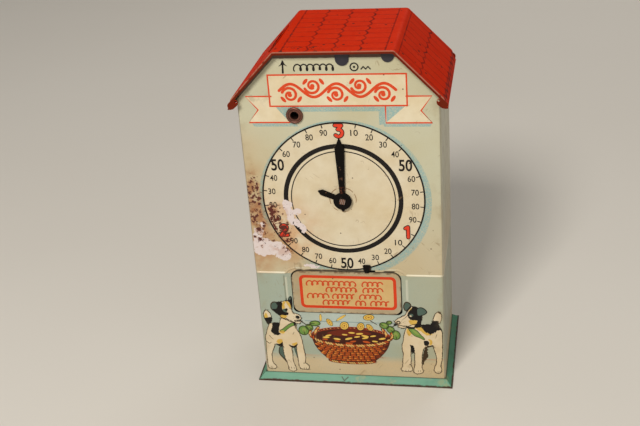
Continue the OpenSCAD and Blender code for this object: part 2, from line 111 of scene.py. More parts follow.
class Graph:
    """A node tree written as calls: each adds a node and gives back its output. Lengths are millimetres."""

    def __init__(self, tree):
        self.tree = tree
        coordinates = self.node("TexCoord", {})
        self.place = self.vector("SCALE", {0: coordinates["Object"], "Scale": 1 / MM})
        self.x, self.y, self.z = self.split(self.place)
        self.facing = self.split(coordinates["Normal"])

    def node(self, kind, inputs, **settings):
        """Adds a node with its settings and inputs, and gives back its outputs."""
        made = self.tree.nodes.new("ShaderNode" + kind)
        for name, value in settings.items():
            setattr(made, name, value)
        for key, value in inputs.items():
            self.plug(made.inputs[key], value)
        return made.outputs

    def plug(self, socket, value):
        value = getattr(value, "socket", value)
        if isinstance(value, bpy.types.NodeSocket):
            self.tree.links.new(value, socket)
        else:
            socket.default_value = value

    def split(self, vector):
        return [Value(self, socket) for socket in self.node("SeparateXYZ", {0: vector})]

    def vector(self, operation, inputs):
        return Value(self, self.node("VectorMath", inputs, operation=operation)[0])

    def math(self, operation, *values, clamp=False):
        sockets = dict(enumerate(values))
        return Value(self, self.node("Math", sockets, operation=operation, use_clamp=clamp)[0])

    def any(self, *values):
        """The largest of several masks."""
        return functools.reduce(lambda a, b: self.math("MAXIMUM", a, b), values)

    def step(self, value, low, high):
        """0 at low and 1 at high, smooth in between. With low above high it falls."""
        ends = {"Value": value, "From Min": low, "From Max": high}
        return Value(self, self.node("MapRange", ends, interpolation_type="SMOOTHSTEP")[0])

    def line(self, value, half, soft=0.1):
        """1 within half of zero."""
        return self.step(abs(value), half + soft, half)

    def noise(self, size, detail=2.0, rough=0.55, at=None):
        sockets = {"Vector": at or self.place, "Scale": 1 / size, "Detail": detail, "Roughness": rough}
        return Value(self, self.node("TexNoise", sockets)[0])

    def blots(self, low, high, size, detail=2.0, rough=0.55):
        """Ragged blots: 1 where a noise is above high, and 0 where it is below low."""
        return self.step(self.noise(size, detail, rough), low, high)

    def cells(self, size):
        """Distance from the nearest of many scattered points, and a random grey for each point's cell."""
        found = self.node("TexVoronoi", {"Vector": self.place, "Scale": 1 / size})
        return Value(self, found["Distance"]), self.split(found["Color"])[0]

    def specks(self, size, edge, chosen):
        """Round specks at some of many scattered points. edge and chosen are the ends of two steps."""
        near, chance = self.cells(size)
        return self.step(near, *edge) * self.step(chance, *chosen)

    def mix(self, share, a, b, blend="MIX"):
        return Value(self, self.node("Mix", {0: share, 6: a, 7: b}, data_type="RGBA", blend_type=blend)[2])

    def blend(self, share, a, b):
        return Value(self, self.node("Mix", {0: share, 2: a, 3: b}, data_type="FLOAT")[0])

    def wobble(self, size, amount):
        """x and z pushed about by a noise, so that a mask made from them gets a ragged edge."""
        push = self.noise(size, 4) - 0.5
        other = self.noise(size, 4, at=self.vector("ADD", {0: self.place, 1: (40, 11, 7)})) - 0.5
        return self.x + push * (2 * amount), self.z + other * (2 * amount)

    def length(self, a, b):
        return self.math("SQRT", a * a + b * b)

    def radius(self, centre):
        return self.length(self.x - centre[0], self.z - centre[1])

    def spot(self, centre, radii, soft=0.25, at=None):
        """1 inside an ellipse in x and z."""
        x, z = at or (self.x, self.z)
        far = self.length((x - centre[0]) / radii[0], (z - centre[1]) / radii[1])
        return self.step(far, 1 + soft, 1 - soft)

    def streak(self, start, end, half, soft=0.5, at=None):
        """1 within half of the line from start to end, in x and z."""
        x, z = at or (self.x, self.z)
        run, rise = end[0] - start[0], end[1] - start[1]
        from_x, from_z = x - start[0], z - start[1]
        along = from_x * run + from_z * rise
        share = self.math("DIVIDE", along, run * run + rise * rise, clamp=True)
        far = self.length(from_x - share * run, from_z - share * rise)
        return self.step(far, half + soft, half - soft)

    def scratches(self, seeds):
        """Hairlines in several directions, each broken up so that it comes and goes."""
        found = 0.0
        for seed in seeds:
            shift, turn = (7 * seed, 3 * seed, 5 * seed), (0.2 * seed, 0.83 * seed, 0.1 * seed)
            sockets = {"Vector": self.place, "Location": shift, "Rotation": turn}
            turned = Value(self, self.node("Mapping", sockets, vector_type="POINT")[0])
            drawn_out = self.vector("MULTIPLY", {0: turned, 1: (0.035, 1, 1)})
            hair = self.line(self.noise(2.8, 1, at=drawn_out) - 0.5, 0.004, 0.02)
            kept = self.step(self.noise(9, 2, at=turned), 0.66, 0.71)
            found = self.any(found, hair * kept)
        return found

    def use(self, group, **inputs):
        """The outputs of a node group."""
        return self.node("Group", inputs, node_tree=group)


def group_tree(name, inputs, outputs):
    """A node group with sockets of the kinds given: its tree, Graph, input node and output node."""
    tree = bpy.data.node_groups.new(name, "ShaderNodeTree")
    for direction, sockets in (("INPUT", inputs), ("OUTPUT", outputs)):
        for label, kind in sockets.items():
            tree.interface.new_socket(label, in_out=direction, socket_type="NodeSocket" + kind)
    return tree, Graph(tree), tree.nodes.new("NodeGroupInput"), tree.nodes.new("NodeGroupOutput")


def ground_group():
    """The printed ground of the case: warm grey-green above, grey-blue beside the door, tan at the foot."""
    tree, g, _, result = group_tree("printed_ground", {}, {"Color": "Color"})
    drift = (g.noise(22, 3) - 0.5) * 18
    level = g.z + drift
    left = g.step(g.x, -22, -39) * g.step(g.z, 127, 112)
    tan = g.any(g.step(level + g.x * 0.5, 120, 72), left)
    upper = g.mix(tan * 0.85, GROUND_TOP, GROUND_TAN)
    beside_door = g.mix(g.step(g.x, 10, 34), srgb(158, 169, 154), srgb(165, 168, 146))
    middle = g.mix(g.spot((0, 30), (24, 9), 0.6), beside_door, PALE_BLUE)
    strip = g.step(abs(g.x), 20.6, 20) * g.line(g.z - 30.4, 0.12, 0.14)
    middle = g.mix(strip * 0.7, middle, srgb(92, 122, 130))
    foot = g.step(g.z + drift * 0.12, 14.5, 9.5)
    lower = g.mix(foot, middle, FLOOR_TAN)
    horizon = g.line(g.z + drift * 0.03 - 12.6, 0.15, 0.3) * g.blots(0.4, 0.6, 7)
    lower = g.mix(horizon * 0.45, lower, srgb(196, 132, 96))
    colour = g.mix(g.step(g.z, 53.9, 54.4), lower, upper)
    grain = g.noise(0.55, 1) - 0.5
    speck, _ = g.cells(0.62)
    dots = g.step(speck, 0.42, 0.2) * g.step(g.z, 56, 50) * 0.16
    colour = g.mix(dots, colour, srgb(128, 150, 142))
    colour = g.mix(abs(grain) * 0.35, colour, srgb(150, 150, 128))
    g.plug(result.inputs["Color"], colour)
    return tree


def wear_and_eave_shade_group():
    """Age over a printed surface, and a painted shade band under the roof's edge. It goes by place, so one
    stain or scratch crosses every ink alike.
    """
    outputs = {"Color": "Color", "Roughness": "Float", "Metallic": "Float", "Height": "Float"}
    tree, g, given, result = group_tree("print_wear_and_eave_shade", {"Color": "Color"}, outputs)
    on_front = g.step(g.y, WALL + 0.6, WALL + 0.3)
    colour = given.outputs["Color"]

    # old varnish: yellow drift, and dirt that gathers toward the side edges and under the roof; then painted
    # shade in a band just under the roof's edge
    yellow = g.blots(0.35, 0.75, 26, 3) * 0.5
    colour = g.mix(yellow, colour, srgb(246, 232, 204), "MULTIPLY")
    edge = g.step(abs(g.x), HALF_W - 5.5, HALF_W - 0.2)
    dirt = edge * g.blots(0.42, 0.72, 6, 4) * 0.45
    colour = g.mix(dirt, colour, srgb(150, 132, 98))
    patches = g.spot((-34, 138), (7, 9), 0.7) * g.blots(0.5, 0.66, 4.5, 5) * 0.4
    colour = g.mix(patches * on_front, colour, srgb(132, 124, 98))
    # painted shade: a dark brown band on the front just under the roof's edge, standing for the shadow the
    # overhang casts
    drop = ROOF_TOP - g.z
    inward = (ROOF_FLAT - abs(g.x)) * SLOPE_RISE + drop * SLOPE_RUN
    depth = g.math("MINIMUM", drop / 3.5, inward / 2.1)
    painted_eave_shade = g.step(depth + (g.noise(2.5, 3) - 0.5) * 0.12, 1.05, 0.95)
    colour = g.mix(painted_eave_shade * on_front * 0.95, colour, srgb(72, 36, 10))

    # a tan stain low on the left of the dial, and a rubbed ring round the hub
    stain = g.spot((-27, 72), (15, 15), 0.7) * g.blots(0.3, 0.62, 9, 3) * 0.7
    colour = g.mix(stain * on_front, colour, srgb(238, 190, 150), "MULTIPLY")
    side_stain = g.spot((-37, 78), (6, 22), 0.6) * g.blots(0.3, 0.6, 5, 4) * 0.75
    colour = g.mix(side_stain * on_front, colour, srgb(234, 186, 154), "MULTIPLY")
    from_hub = g.radius(DIAL)
    rubbed = g.line(from_hub - 5.4, 0.1, 0.16) * g.blots(0.4, 0.5, 2.6, 2) * 0.8
    colour = g.mix(rubbed * on_front, colour, srgb(128, 88, 48))

    # flaked paint that shows pale tin
    ragged = g.wobble(3.4, 2.6)
    flaked = g.any(
        g.spot((-35.6, 66.6), (5, 4.2), 0.06, ragged),
        g.spot((-37, 72.6), (2.2, 3), 0.06, ragged),
        g.spot((-30.2, 66.4), (4.2, 3), 0.06, ragged),
        g.spot((-26.8, 63.2), (3, 2.6), 0.06, ragged),
        g.streak((-23.4, 87), (-21.4, 79), 1.6, 0.12, ragged),
        g.streak((-21.4, 80), (-16.8, 75), 1.2, 0.12, ragged),
        g.spot((-19.6, 83.6), (1.5, 1.6), 0.08, ragged),
        g.spot((-35.6, 77.6), (1.2, 1.7), 0.1, ragged),
        g.spot((-15, 57.8), (3.4, 0.9), 0.1, ragged),
    )
    flaked = flaked * on_front
    pinholes = g.blots(0.66, 0.69, 1.1, 3)
    pale = g.mix(g.noise(1.8, 3) * 0.3, BARE_PINK, srgb(188, 170, 160))
    colour = g.mix(flaked * (1 - pinholes), colour, pale)

    # rust specks beside and inside the dial, on the left
    zone = g.any(
        g.spot((-37, 90), (3.2, 12), 0.45),
        g.spot((-36.2, 77), (3.2, 10), 0.45),
        g.streak((-30.2, 85), (-28.6, 79.5), 2.4, 1.1),
        g.streak((-28.6, 79.5), (-25, 71), 2.7, 1.1),
        g.spot((-27, 76), (7, 12), 0.3) * 0.55,
        g.spot((-26.5, 66), (6, 4), 0.6) * 0.75,
    )
    coarse = g.noise(1.6, 4, 0.7)
    thickest = g.any(g.spot((-26.2, 75.8), (3.4, 4.4), 0.5), g.spot((-29, 82.6), (2.4, 3), 0.5))
    reach = zone * 0.2 + thickest * 0.045
    rust = g.step(coarse + reach, 0.7, 0.73) * g.step(zone, 0.1, 0.35) * on_front
    halo = g.step(g.noise(3, 4) + reach, 0.6, 0.76) * zone * 0.6 * on_front
    colour = g.mix(halo, colour, srgb(214, 166, 128), "MULTIPLY")
    colour = g.mix(rust, colour, g.mix(g.noise(0.7), RUST, srgb(64, 28, 22)))

    # hairline scratches and stray dark specks everywhere
    hairs = g.scratches((1, 2, 3, 6))
    colour = g.mix(hairs * 0.45, colour, srgb(126, 98, 66))
    specks = g.specks(5.2, (0.07, 0.045), (0.56, 0.6))
    colour = g.mix(specks * 0.85, colour, srgb(72, 50, 40))

    rough = 0.34 + g.noise(7, 4) * 0.16 + hairs * 0.2
    rough = g.blend(flaked, rough, 0.5)
    rough = g.blend(rust, rough, 0.85)
    height = g.noise(1.3, 3) * 0.12 + flaked * -0.7 + rust * g.noise(0.5) * 0.9
    height = height - hairs * 0.35
    g.plug(result.inputs["Color"], colour)
    g.plug(result.inputs["Roughness"], rough)
    g.plug(result.inputs["Metallic"], flaked * 0.2)
    g.plug(result.inputs["Height"], height)
    return tree


class Paint(Graph):
    """A material: the Graph of its tree, and its shader."""

    def __init__(self, name, coat=0.0, coat_rough=0.1, specular=0.5):
        self.material = bpy.data.materials.new(name)
        self.material.use_nodes = True
        super().__init__(self.material.node_tree)
        self.shader = self.material.node_tree.nodes["Principled BSDF"]
        self.shader.inputs["Coat Weight"].default_value = coat
        self.shader.inputs["Coat Roughness"].default_value = coat_rough
        self.shader.inputs["Specular IOR Level"].default_value = specular

    def set(self, color, rough, height=None, metal=0.0, depth=0.03):
        """Colour, roughness and metal of the surface, and a bump of depth millimetres for a height of 1."""
        self.plug(self.shader.inputs["Base Color"], color)
        self.plug(self.shader.inputs["Roughness"], rough)
        self.plug(self.shader.inputs["Metallic"], metal)
        if height is not None:
            bump = self.node("Bump", {"Distance": depth * MM, "Height": height})
            self.plug(self.shader.inputs["Normal"], bump[0])
        return self.material


GROUND = ground_group()
WEAR_AND_EAVE_SHADE = wear_and_eave_shade_group()


def printed(name, colour=None, picture=None):
    """Varnished litho ink of one colour, or of what picture(g) gives, with the shared wear and painted eave
    shade.
    """
    g = Paint(name, coat=0.08, coat_rough=0.2, specular=0.25)
    if picture is not None:
        colour = picture(g)
    else:
        colour = g.mix(g.noise(5, 3), colour, srgb(232, 222, 205), "MULTIPLY")
    worn = g.use(WEAR_AND_EAVE_SHADE, Color=colour)
    return g.set(worn["Color"], worn["Roughness"], worn["Height"], worn["Metallic"])


def stippled(g):
    """Blue dots over the ground, thinning out at random, as the printed shadows have."""
    ground = g.use(GROUND)[0]
    near, chance = g.cells(0.42)
    inside = g.step(g.radius(HALO), HALO_R, HALO_R - 1.6)
    dense = g.blend(g.step(g.z, 119, 120.5), inside, 1)
    left = 1 - g.spot((-27, 66), (13, 13), 0.4)
    dots = g.step(near, 0.72, 0.5) * g.step(chance + dense, 0.55, 0.75) * left
    haze = g.mix(left * 0.35, ground, STIPPLE_BLUE)
    return g.mix(dots * 0.75, haze, STIPPLE_BLUE)


def tin(g):
    """Dull tinplate: colour, roughness, height."""
    cloud = g.noise(14, 4)
    colour = g.mix(cloud, srgb(188, 182, 168), srgb(150, 143, 128))
    spots = g.blots(0.66, 0.74, 2.6, 5, 0.7)
    colour = g.mix(spots * 0.7, colour, srgb(110, 82, 58))
    rough = 0.34 + cloud * 0.18 + spots * 0.25
    return colour, rough, g.scratches((4, 5)) * -0.6


def print_over_tin(g, outside, colour, worn, metal=0.0):
    """A sheet with worn print where outside is 1, and bare tin elsewhere."""
    plain, rough, height = tin(g)
    return g.set(
        g.mix(outside, plain, colour),
        g.blend(outside, rough, worn["Roughness"]),
        g.blend(outside, height, worn["Height"]),
        g.blend(outside, 0.9, metal),
    )


def case_material():
    """The folded case: printed outside, tinplate inside, with painted highlights and shade along its pressed
    lines and over the door.
    """
    g = Paint("case_print", coat=0.15, coat_rough=0.16, specular=0.35)
    outside = g.any(g.step(g.y, WALL + 0.3, WALL + 0.2), g.step(abs(g.x), HALF_W - 0.3, HALF_W - 0.2))
    ground = g.use(GROUND)[0]
    from_door = abs(g.x - DOOR_X)
    ledge_z, lip_z, gap_z, bead_top = 54.35, 56.8, 55.9, 52.6
    door_half, bead_x, shade_x = 21.6, 25.8, 26.6
    # painted highlights: pale lines on the pressed ledge, the lip over the door and the upright beads beside
    # it, where they would catch the light
    level = g.line(g.z - ledge_z, 0.38, 0.15) * g.step(from_door, 25.4, 26.4)
    above = g.line(g.z - lip_z, 0.25, 0.2) * g.step(from_door, door_half, 20.8)
    upright_highlight = g.line(from_door - bead_x, 0.35, 0.25) * g.step(g.z, 40, 43) * g.step(g.z, bead_top, 51.6)
    # painted shade: a dark line beside the upright bead on the left
    shade = g.line(from_door - shade_x, 0.2, 0.3) * g.step(g.z, 38, 42) * g.step(g.x, 0, -1)
    ground = g.mix(level * 0.75, ground, srgb(228, 222, 198))
    ground = g.mix(g.any(above, upright_highlight) * 0.6, ground, srgb(208, 208, 188))
    ground = g.mix(shade * g.step(g.z, 53.2, bead_top) * 0.55, ground, srgb(112, 114, 92))
    # painted shade: a dark broken line over the door's top edge, standing for the shadow in the gap
    painted_gap_shade = g.line(g.z - gap_z, 0.32, 0.15) * g.step(from_door, door_half, 20.6)
    painted_gap_shade = painted_gap_shade * g.blots(0.3, 0.5, 7, 2) * 0.85
    ground = g.mix(painted_gap_shade, ground, srgb(44, 34, 27))
    worn = g.use(WEAR_AND_EAVE_SHADE, Color=ground)
    return print_over_tin(g, outside, worn["Color"], worn, worn["Metallic"])


def back_material():
    """The plain lacquered back, with bare tin inside."""
    g = Paint("back_print", coat=0.15, coat_rough=0.18, specular=0.35)
    outside = g.step(g.y, -WALL - 0.3, -WALL - 0.2)
    worn = g.use(WEAR_AND_EAVE_SHADE, Color=g.mix(g.noise(30, 3), srgb(186, 186, 158), srgb(172, 170, 140)))
    rub = g.blots(0.6, 0.68, 8, 5, 0.65) * 0.8
    colour = g.mix(rub * 0.5, worn["Color"], srgb(146, 122, 88))
    return print_over_tin(g, outside, colour, worn)


# ---- roof ----

TILE_W = 6.5
TOP_ROW = 10.2
SLOPE_ROW = 13


def tile_lines(g, along, row, start):
    """Outlines of round-ended tiles in rows, each row half a tile out of step with the next."""
    ragged = (g.noise(2.2, 3) - 0.5) * 0.9
    count = (along + ragged - start) / row
    nearest = g.math("ROUND", count)
    phase = (g.y + ragged) / TILE_W + nearest * 0.5
    arch = abs(g.math("SINE", phase * math.pi)) * 1.3
    off = (count - nearest) * row - (arch - 0.8)
    ends = g.line(off, 0.24, 0.34)
    own_row = g.math("FLOOR", count - (arch - 0.8) / row)
    side_phase = (g.y + ragged) / TILE_W + (own_row + 1) * 0.5
    from_side = (side_phase - g.math("ROUND", side_phase)) * TILE_W
    sides = g.line(from_side, 0.12, 0.26) * 0.85
    return g.any(ends, sides)


def roof_material():
    """Printed tiles, plain ridge strips, a rubbed front bend with a painted highlight, and darker red-brown
    on the turned-down rim.
    """
    g = Paint("roof_tiles", specular=0.012)
    across = abs(g.x)
    down = (across - ROOF_FLAT) * SLOPE_STRETCH
    on_top = g.step(across, ROOF_FLAT + 0.1, ROOF_FLAT - 0.1)
    top = tile_lines(g, g.x, TOP_ROW, 0) * g.step(across, 20.2, 19.8)
    slope = tile_lines(g, down, SLOPE_ROW, 0.6) * g.step(down, 2.2, 2.6)
    caps = g.any(g.line(across - 20, 0.16, 0.26), g.line(down - 2.3, 0.14, 0.26) * 0.9)
    from_rim = -ROOF_FRONT - abs(g.y)
    hem_line = g.line(from_rim - 2.4, 0.1, 0.25) * (1 - on_top) * 0.8
    lines = g.any(g.blend(on_top, slope, top), caps, hem_line)
    broken = 0.5 + g.blots(0.35, 0.6, 4, 3) * 0.5
    lines = lines * broken

    cloud = g.noise(9, 4)
    red = g.mix(cloud, srgb(212, 46, 4), srgb(196, 35, 2))
    red = g.mix(g.blots(0.5, 0.75, 1.5, 3) * 0.3, red, srgb(222, 66, 18))
    blots = g.blots(0.46, 0.6, 3.2, 4, 0.65)
    ink = g.mix(blots, srgb(124, 20, 6), srgb(58, 24, 22))
    colour = g.mix(lines * 0.84, red, ink)
    scuffs = g.scratches((6, 7, 8)) * 0.7
    colour = g.mix(scuffs, colour, srgb(116, 44, 32))
    chips = g.specks(4.4, (0.15, 0.09), (0.66, 0.69))
    front_left = g.step(g.y, -20.5, -24) * g.step(g.x, -1, -7) * on_top
    chips = g.any(chips, front_left * g.blots(0.58, 0.62, 1.7, 4, 0.6) * 0.9)
    colour = g.mix(chips, colour, srgb(70, 44, 36))

    # the front and back edges: rubbed bare metal and a painted highlight on the bend, darker red-brown on
    # the rim's face
    slope_depth = (ROOF_FLAT - across) * SLOPE_RISE + (ROOF_TOP - g.z) * SLOPE_RUN
    below = g.math("MINIMUM", ROOF_TOP - g.z, slope_depth)
    # painted highlight: the pale pinkish line along the bend stands partly for rubbed bare metal and partly
    # for the light the bend catches
    near_edge = g.step(from_rim, 0.45, 0.25) * g.step(below, 0.5, 0.3) * 0.8
    rubbed = near_edge * g.blots(0.3, 0.46, 3, 3)
    rim = g.step(abs(g.facing[1]), 0.7, 0.85)
    brown = g.mix(g.noise(5, 3), srgb(118, 36, 18), srgb(88, 34, 20))
    colour = g.mix(rim, colour, brown)
    colour = g.mix(rubbed, colour, srgb(190, 122, 100))
    under = g.step(g.facing[2], -0.1, -0.3)
    plain, plain_rough, plain_height = tin(g)
    dull = g.mix(0.5, plain, srgb(140, 128, 96))
    colour = g.mix(under, colour, dull)
    rough = 0.42 + cloud * 0.14 + chips * 0.3 + rubbed * -0.15
    rough = g.blend(under, rough, plain_rough)
    metal = rubbed * 0.5 + under * 0.5
    height = g.noise(2.5, 4) * 0.5 - (lines * 0.5 + chips)
    height = g.blend(under, height, plain_height)
    return g.set(colour, rough, height, metal, depth=0.05)


# ---- other materials ----


def skirt_material():
    """Teal enamel, rubbed yellow on the slope, worn through to brown at the lower edge."""
    g = Paint("base_enamel", coat=0.06, coat_rough=0.2, specular=0.25)
    cloud = g.noise(10, 4)
    colour = g.mix(cloud, srgb(60, 130, 102), srgb(80, 140, 106))
    colour = g.mix(g.blots(0.5, 0.68, 13, 4) * 0.4, colour, srgb(44, 104, 84))
    streaks = g.noise(5, 3, at=g.vector("MULTIPLY", {0: g.place, 1: (0.25, 0.25, 2)}))
    rubbed = g.blots(0.54, 0.66, 7, 5, 0.65) * 0.55
    colour = g.mix(rubbed, colour, srgb(134, 138, 84))
    colour = g.mix(g.step(streaks, 0.5, 0.8) * 0.4, colour, srgb(108, 150, 130))
    low = g.step(g.z + (g.noise(2.5, 4) - 0.5) * 0.9, 0.85, 0.45)
    seam = g.step(g.z, 2.7, 2.95) * 0.6
    chips = g.blots(0.7, 0.74, 1.7, 5, 0.7)
    nick = g.any(g.streak((-5.6, 2.2), (-4.4, 1), 0.14, 0.14), g.streak((-4.4, 1), (-2.8, 2.2), 0.14, 0.14))
    nick = nick * g.step(g.y, -20, -22)
    bare = g.any(low, chips, seam, nick)
    colour = g.mix(bare, colour, g.mix(g.noise(1.2), srgb(84, 58, 40), srgb(54, 38, 30)))
    inner = g.step(g.facing[2], -0.3, -0.6)
    plain, plain_rough, _ = tin(g)
    colour = g.mix(inner, colour, plain)
    rough = 0.32 + cloud * 0.2 + bare * 0.35
    height = g.noise(1.6, 4) * 0.4 + bare * -0.8
    return g.set(colour, g.blend(inner, rough, plain_rough), height, inner * 0.9, depth=0.05)


def metal_material(name, light, dark, rough, specks=0.5, shine=1.0, grain=(0.15, 3.0, 3.0)):
    """A metal with rolling marks along one direction, clouding, and tarnish specks."""
    g = Paint(name)
    marks = g.noise(1.6, 4, at=g.vector("MULTIPLY", {0: g.place, 1: grain}))
    cloud = g.noise(6, 4)
    colour = g.mix(g.step(marks * 0.5 + cloud * 0.5, 0.35, 0.65), light, dark)
    spots = g.blots(0.64, 0.74, 1.4, 5, 0.7) * specks
    colour = g.mix(spots, colour, srgb(78, 52, 38))
    finish = rough + marks * 0.2 + spots * 0.3
    height = marks * 0.6 - spots
    return g.set(colour, finish, height, shine, depth=0.02)


def black_material():
    """Black stove enamel, rubbed to brown steel in small marks."""
    g = Paint("black_enamel", specular=0.09)
    cloud = g.noise(5, 4)
    colour = g.mix(cloud, srgb(8, 6, 5), srgb(18, 14, 12))
    chips = g.specks(2.2, (0.16, 0.1), (0.78, 0.8))
    hairs = g.scratches((2, 9))
    colour = g.mix(g.any(chips, hairs) * 0.6, colour, srgb(104, 72, 54))
    foot = g.step(g.radius((0, 94)), 2.2, 1) * g.blots(0.5, 0.6, 0.9, 4)
    colour = g.mix(foot * 0.45, colour, srgb(112, 62, 44))
    height = g.noise(0.9, 3) * 0.4 - chips
    return g.set(colour, 0.4 + cloud * 0.2, height, depth=0.03)


def plate_material():
    """The mechanism plate: tinplate, with its two tabs in front of the case dipped blue-black."""
    g = Paint("mechanism_plate")
    colour, rough, height = tin(g)
    dipped = g.step(g.y, WALL + 0.3, WALL + 0.1)
    dark = g.mix(g.noise(2, 4), srgb(34, 36, 50), srgb(62, 56, 60))
    return g.set(
        g.mix(dipped, colour, dark), g.blend(dipped, rough, 0.42), height, g.blend(dipped, 0.9, 0.4)
    )


def eyelet_material():
    """A copper eyelet gone brown, with painted shade darkening it down its bore."""
    g = Paint("eyelet_copper")
    cloud = g.noise(1.3, 4)
    colour = g.mix(cloud, srgb(134, 88, 72), srgb(78, 50, 44))
    # painted shade: near-black deeper into the bore
    depth = g.step(g.y, WALL - 0.4, WALL + 1)
    colour = g.mix(depth * 0.8, colour, srgb(36, 26, 24))
    return g.set(colour, 0.34 + cloud * 0.2, g.noise(0.6, 3), 0.75, depth=0.03)


def axle_material():
    """The axle, whose peened square end has coppery stripes where the file cut it."""
    g = Paint("axle_steel")
    slant = g.x - g.z * 0.35
    wave = g.math("SINE", slant * (2 * math.pi / 0.75))
    end = g.step(g.y, WALL - 1.55, WALL - 1.6)
    stripes = g.step(wave, -0.3, 0.3) * end
    steel = g.mix(g.noise(1.5, 4), srgb(176, 166, 156), srgb(128, 118, 108))
    colour = g.mix(stripes, steel, srgb(128, 74, 52))
    return g.set(colour, 0.38, stripes * -1, 0.8, depth=0.05)


def door_material():
    """The door: grey-brown print in front, bare tin behind and on the hinge rolls."""
    g = Paint("door_print", coat=0.12, coat_rough=0.18, specular=0.35)
    outside = g.step(g.y, DOOR_WALL + 0.85, DOOR_WALL + 0.7)
    base = g.mix(g.noise(6, 4), srgb(184, 166, 133), srgb(160, 143, 113))
    cool = g.blots(0.5, 0.7, 9, 3)
    base = g.mix(cool * 0.4, base, srgb(160, 164, 146))
    worn = g.use(WEAR_AND_EAVE_SHADE, Color=base)
    across = abs(g.x - DOOR_X)
    half = DOOR_HIGH.x - DOOR_X
    edge_x = g.step(across, half - 0.9, half - 0.3)
    edge_z = g.any(
        g.step(g.z, DOOR_LOW.z + 0.9, DOOR_LOW.z + 0.3), g.step(g.z, DOOR_HIGH.z - 0.9, DOOR_HIGH.z - 0.3)
    )
    # the door's edges darkened all round: partly rubbed wear, partly painted shade of the gap round the door
    rub = g.any(edge_x, edge_z) * g.blots(0.45, 0.6, 1.7, 4) * 0.75
    colour = g.mix(rub, worn["Color"], srgb(112, 86, 62))
    return print_over_tin(g, outside, colour, worn)


# ---- printed shapes ----

LAYER = 0.011  # each layer of ink stands this much in front of the one below
SINK = 0.1  # how far an ink shape reaches into the sheet behind it
NUDGE = 0.0009  # keeps overlapping shapes of one ink out of one plane


class Ink:
    """One ink: closed flat shapes a hair in front of a wall, joined into one piece."""

    def __init__(self, name, material, layer, body="case", wall=WALL, slot="case_print"):
        self.name, self.material, self.body, self.slot = name, material, body, slot
        self.front = wall - LAYER * (layer + 1)
        self.back = wall + SINK
        self.verts, self.faces, self.count = [], [], 0

    def solid(self, points, triangles):
        """Adds the closed prism over a flat mesh given as (x, z) points and triangles."""
        front = self.front - NUDGE * (self.count % 8)
        self.count += 1
        base, total = len(self.verts), len(points)
        self.verts += [(x, front, z) for x, z in points] + [(x, self.back, z) for x, z in points]
        sides = {}
        for a, b, c in triangles:
            (ax, az), (bx, bz), (cx, cz) = points[a], points[b], points[c]
            if (bx - ax) * (cz - az) - (bz - az) * (cx - ax) < 0:
                b, c = c, b
            self.faces.append((base + a, base + b, base + c))
            self.faces.append((base + total + c, base + total + b, base + total + a))
            for edge in ((a, b), (b, c), (c, a)):
                sides[edge] = sides.get(edge, 0) + 1
        for a, b in sides:
            if (b, a) not in sides:
                self.faces.append((base + b, base + a, base + total + a, base + total + b))

    def fill(self, outline, *holes):
        loops = [outline, *holes]
        flat = [point for loop in loops for point in loop]
        triangles = tessellate_polygon([[Vector((x, z, 0)) for x, z in loop] for loop in loops])
        self.solid(flat, triangles)

    def dot(self, *ellipse):
        """A filled ellipse, given as circle takes it."""
        self.fill(circle(*ellipse))

    def ring(self, centre, inner, outer, steps=96):
        self.fill(circle(centre, outer, steps), circle(centre, inner, steps))

    def stroke(self, points, width, end_width=None):
        """A line with round ends, which may taper toward its end."""
        self.fill(ribbon(points, width, width if end_width is None else end_width))

    def outline(self, loop, width):
        """A line of even width round a closed loop."""
        self.fill(shifted(loop, width / 2), shifted(loop, -width / 2))

    def glyphs(self, text, centre, height, width, weight):
        """Digits made to fill a box of that height and width."""
        points, triangles = digit_shape(text, weight)
        low_x, high_x = min(x for x, _ in points), max(x for x, _ in points)
        low_z, high_z = min(z for _, z in points), max(z for _, z in points)
        placed = []
        for x, z in points:
            up = (z - (low_z + high_z) / 2) * height / (high_z - low_z)
            across = (x - (low_x + high_x) / 2) * width / (high_x - low_x)
            placed.append((centre[0] + across, centre[1] + up))
        self.solid(placed, triangles)

    def make(self):
        mesh = bpy.data.meshes.new(self.name)
        mesh.from_pydata([(x * MM, y * MM, z * MM) for x, y, z in self.verts], [], self.faces)
        mesh.materials.append(self.material)
        piece = bpy.data.objects.new(self.name, mesh)
        bpy.context.scene.collection.objects.link(piece)
        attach(piece, self.body)


def toward(centre, angle, reach):
    """The point at reach from centre, at an angle in radians from the right."""
    return centre[0] + reach * math.cos(angle), centre[1] + reach * math.sin(angle)


def circle(centre, radius, steps=96, squash=1.0, tilt=0.0):
    """An ellipse whose second radius is squash times the first, turned by tilt degrees."""
    cosine, sine = math.cos(math.radians(tilt)), math.sin(math.radians(tilt))
    points = []
    for i in range(steps):
        angle = 2 * math.pi * i / steps
        x, z = radius * math.cos(angle), radius * squash * math.sin(angle)
        points.append((centre[0] + x * cosine - z * sine, centre[1] + x * sine + z * cosine))
    return points


def spline(points, closed=True, steps=5):
    """A smooth curve through the points."""
    before, after = ([points[-1]], points[:2]) if closed else ([points[0]], [points[-1]])
    line = [*before, *points, *after]
    curve = []
    for near in zip(line, line[1:], line[2:], line[3:]):
        for step in range(steps):
            curve.append(tuple(between(*numbers, step / steps) for numbers in zip(*near)))
    return curve if closed else curve + [tuple(points[-1])]


def between(a, b, c, d, t):
    """The value at share t from b to c of a smooth curve through a, b, c and d."""
    square, cube = 2 * a - 5 * b + 4 * c - d, 3 * b - a - 3 * c + d
    return 0.5 * (2 * b + (c - a) * t + square * t * t + cube * t ** 3)


def unit_normal(a, b):
    """The unit sideways direction of the line from a to b, to its left."""
    run, rise = b[0] - a[0], b[1] - a[1]
    length = math.hypot(run, rise) or 1.0
    return -rise / length, run / length


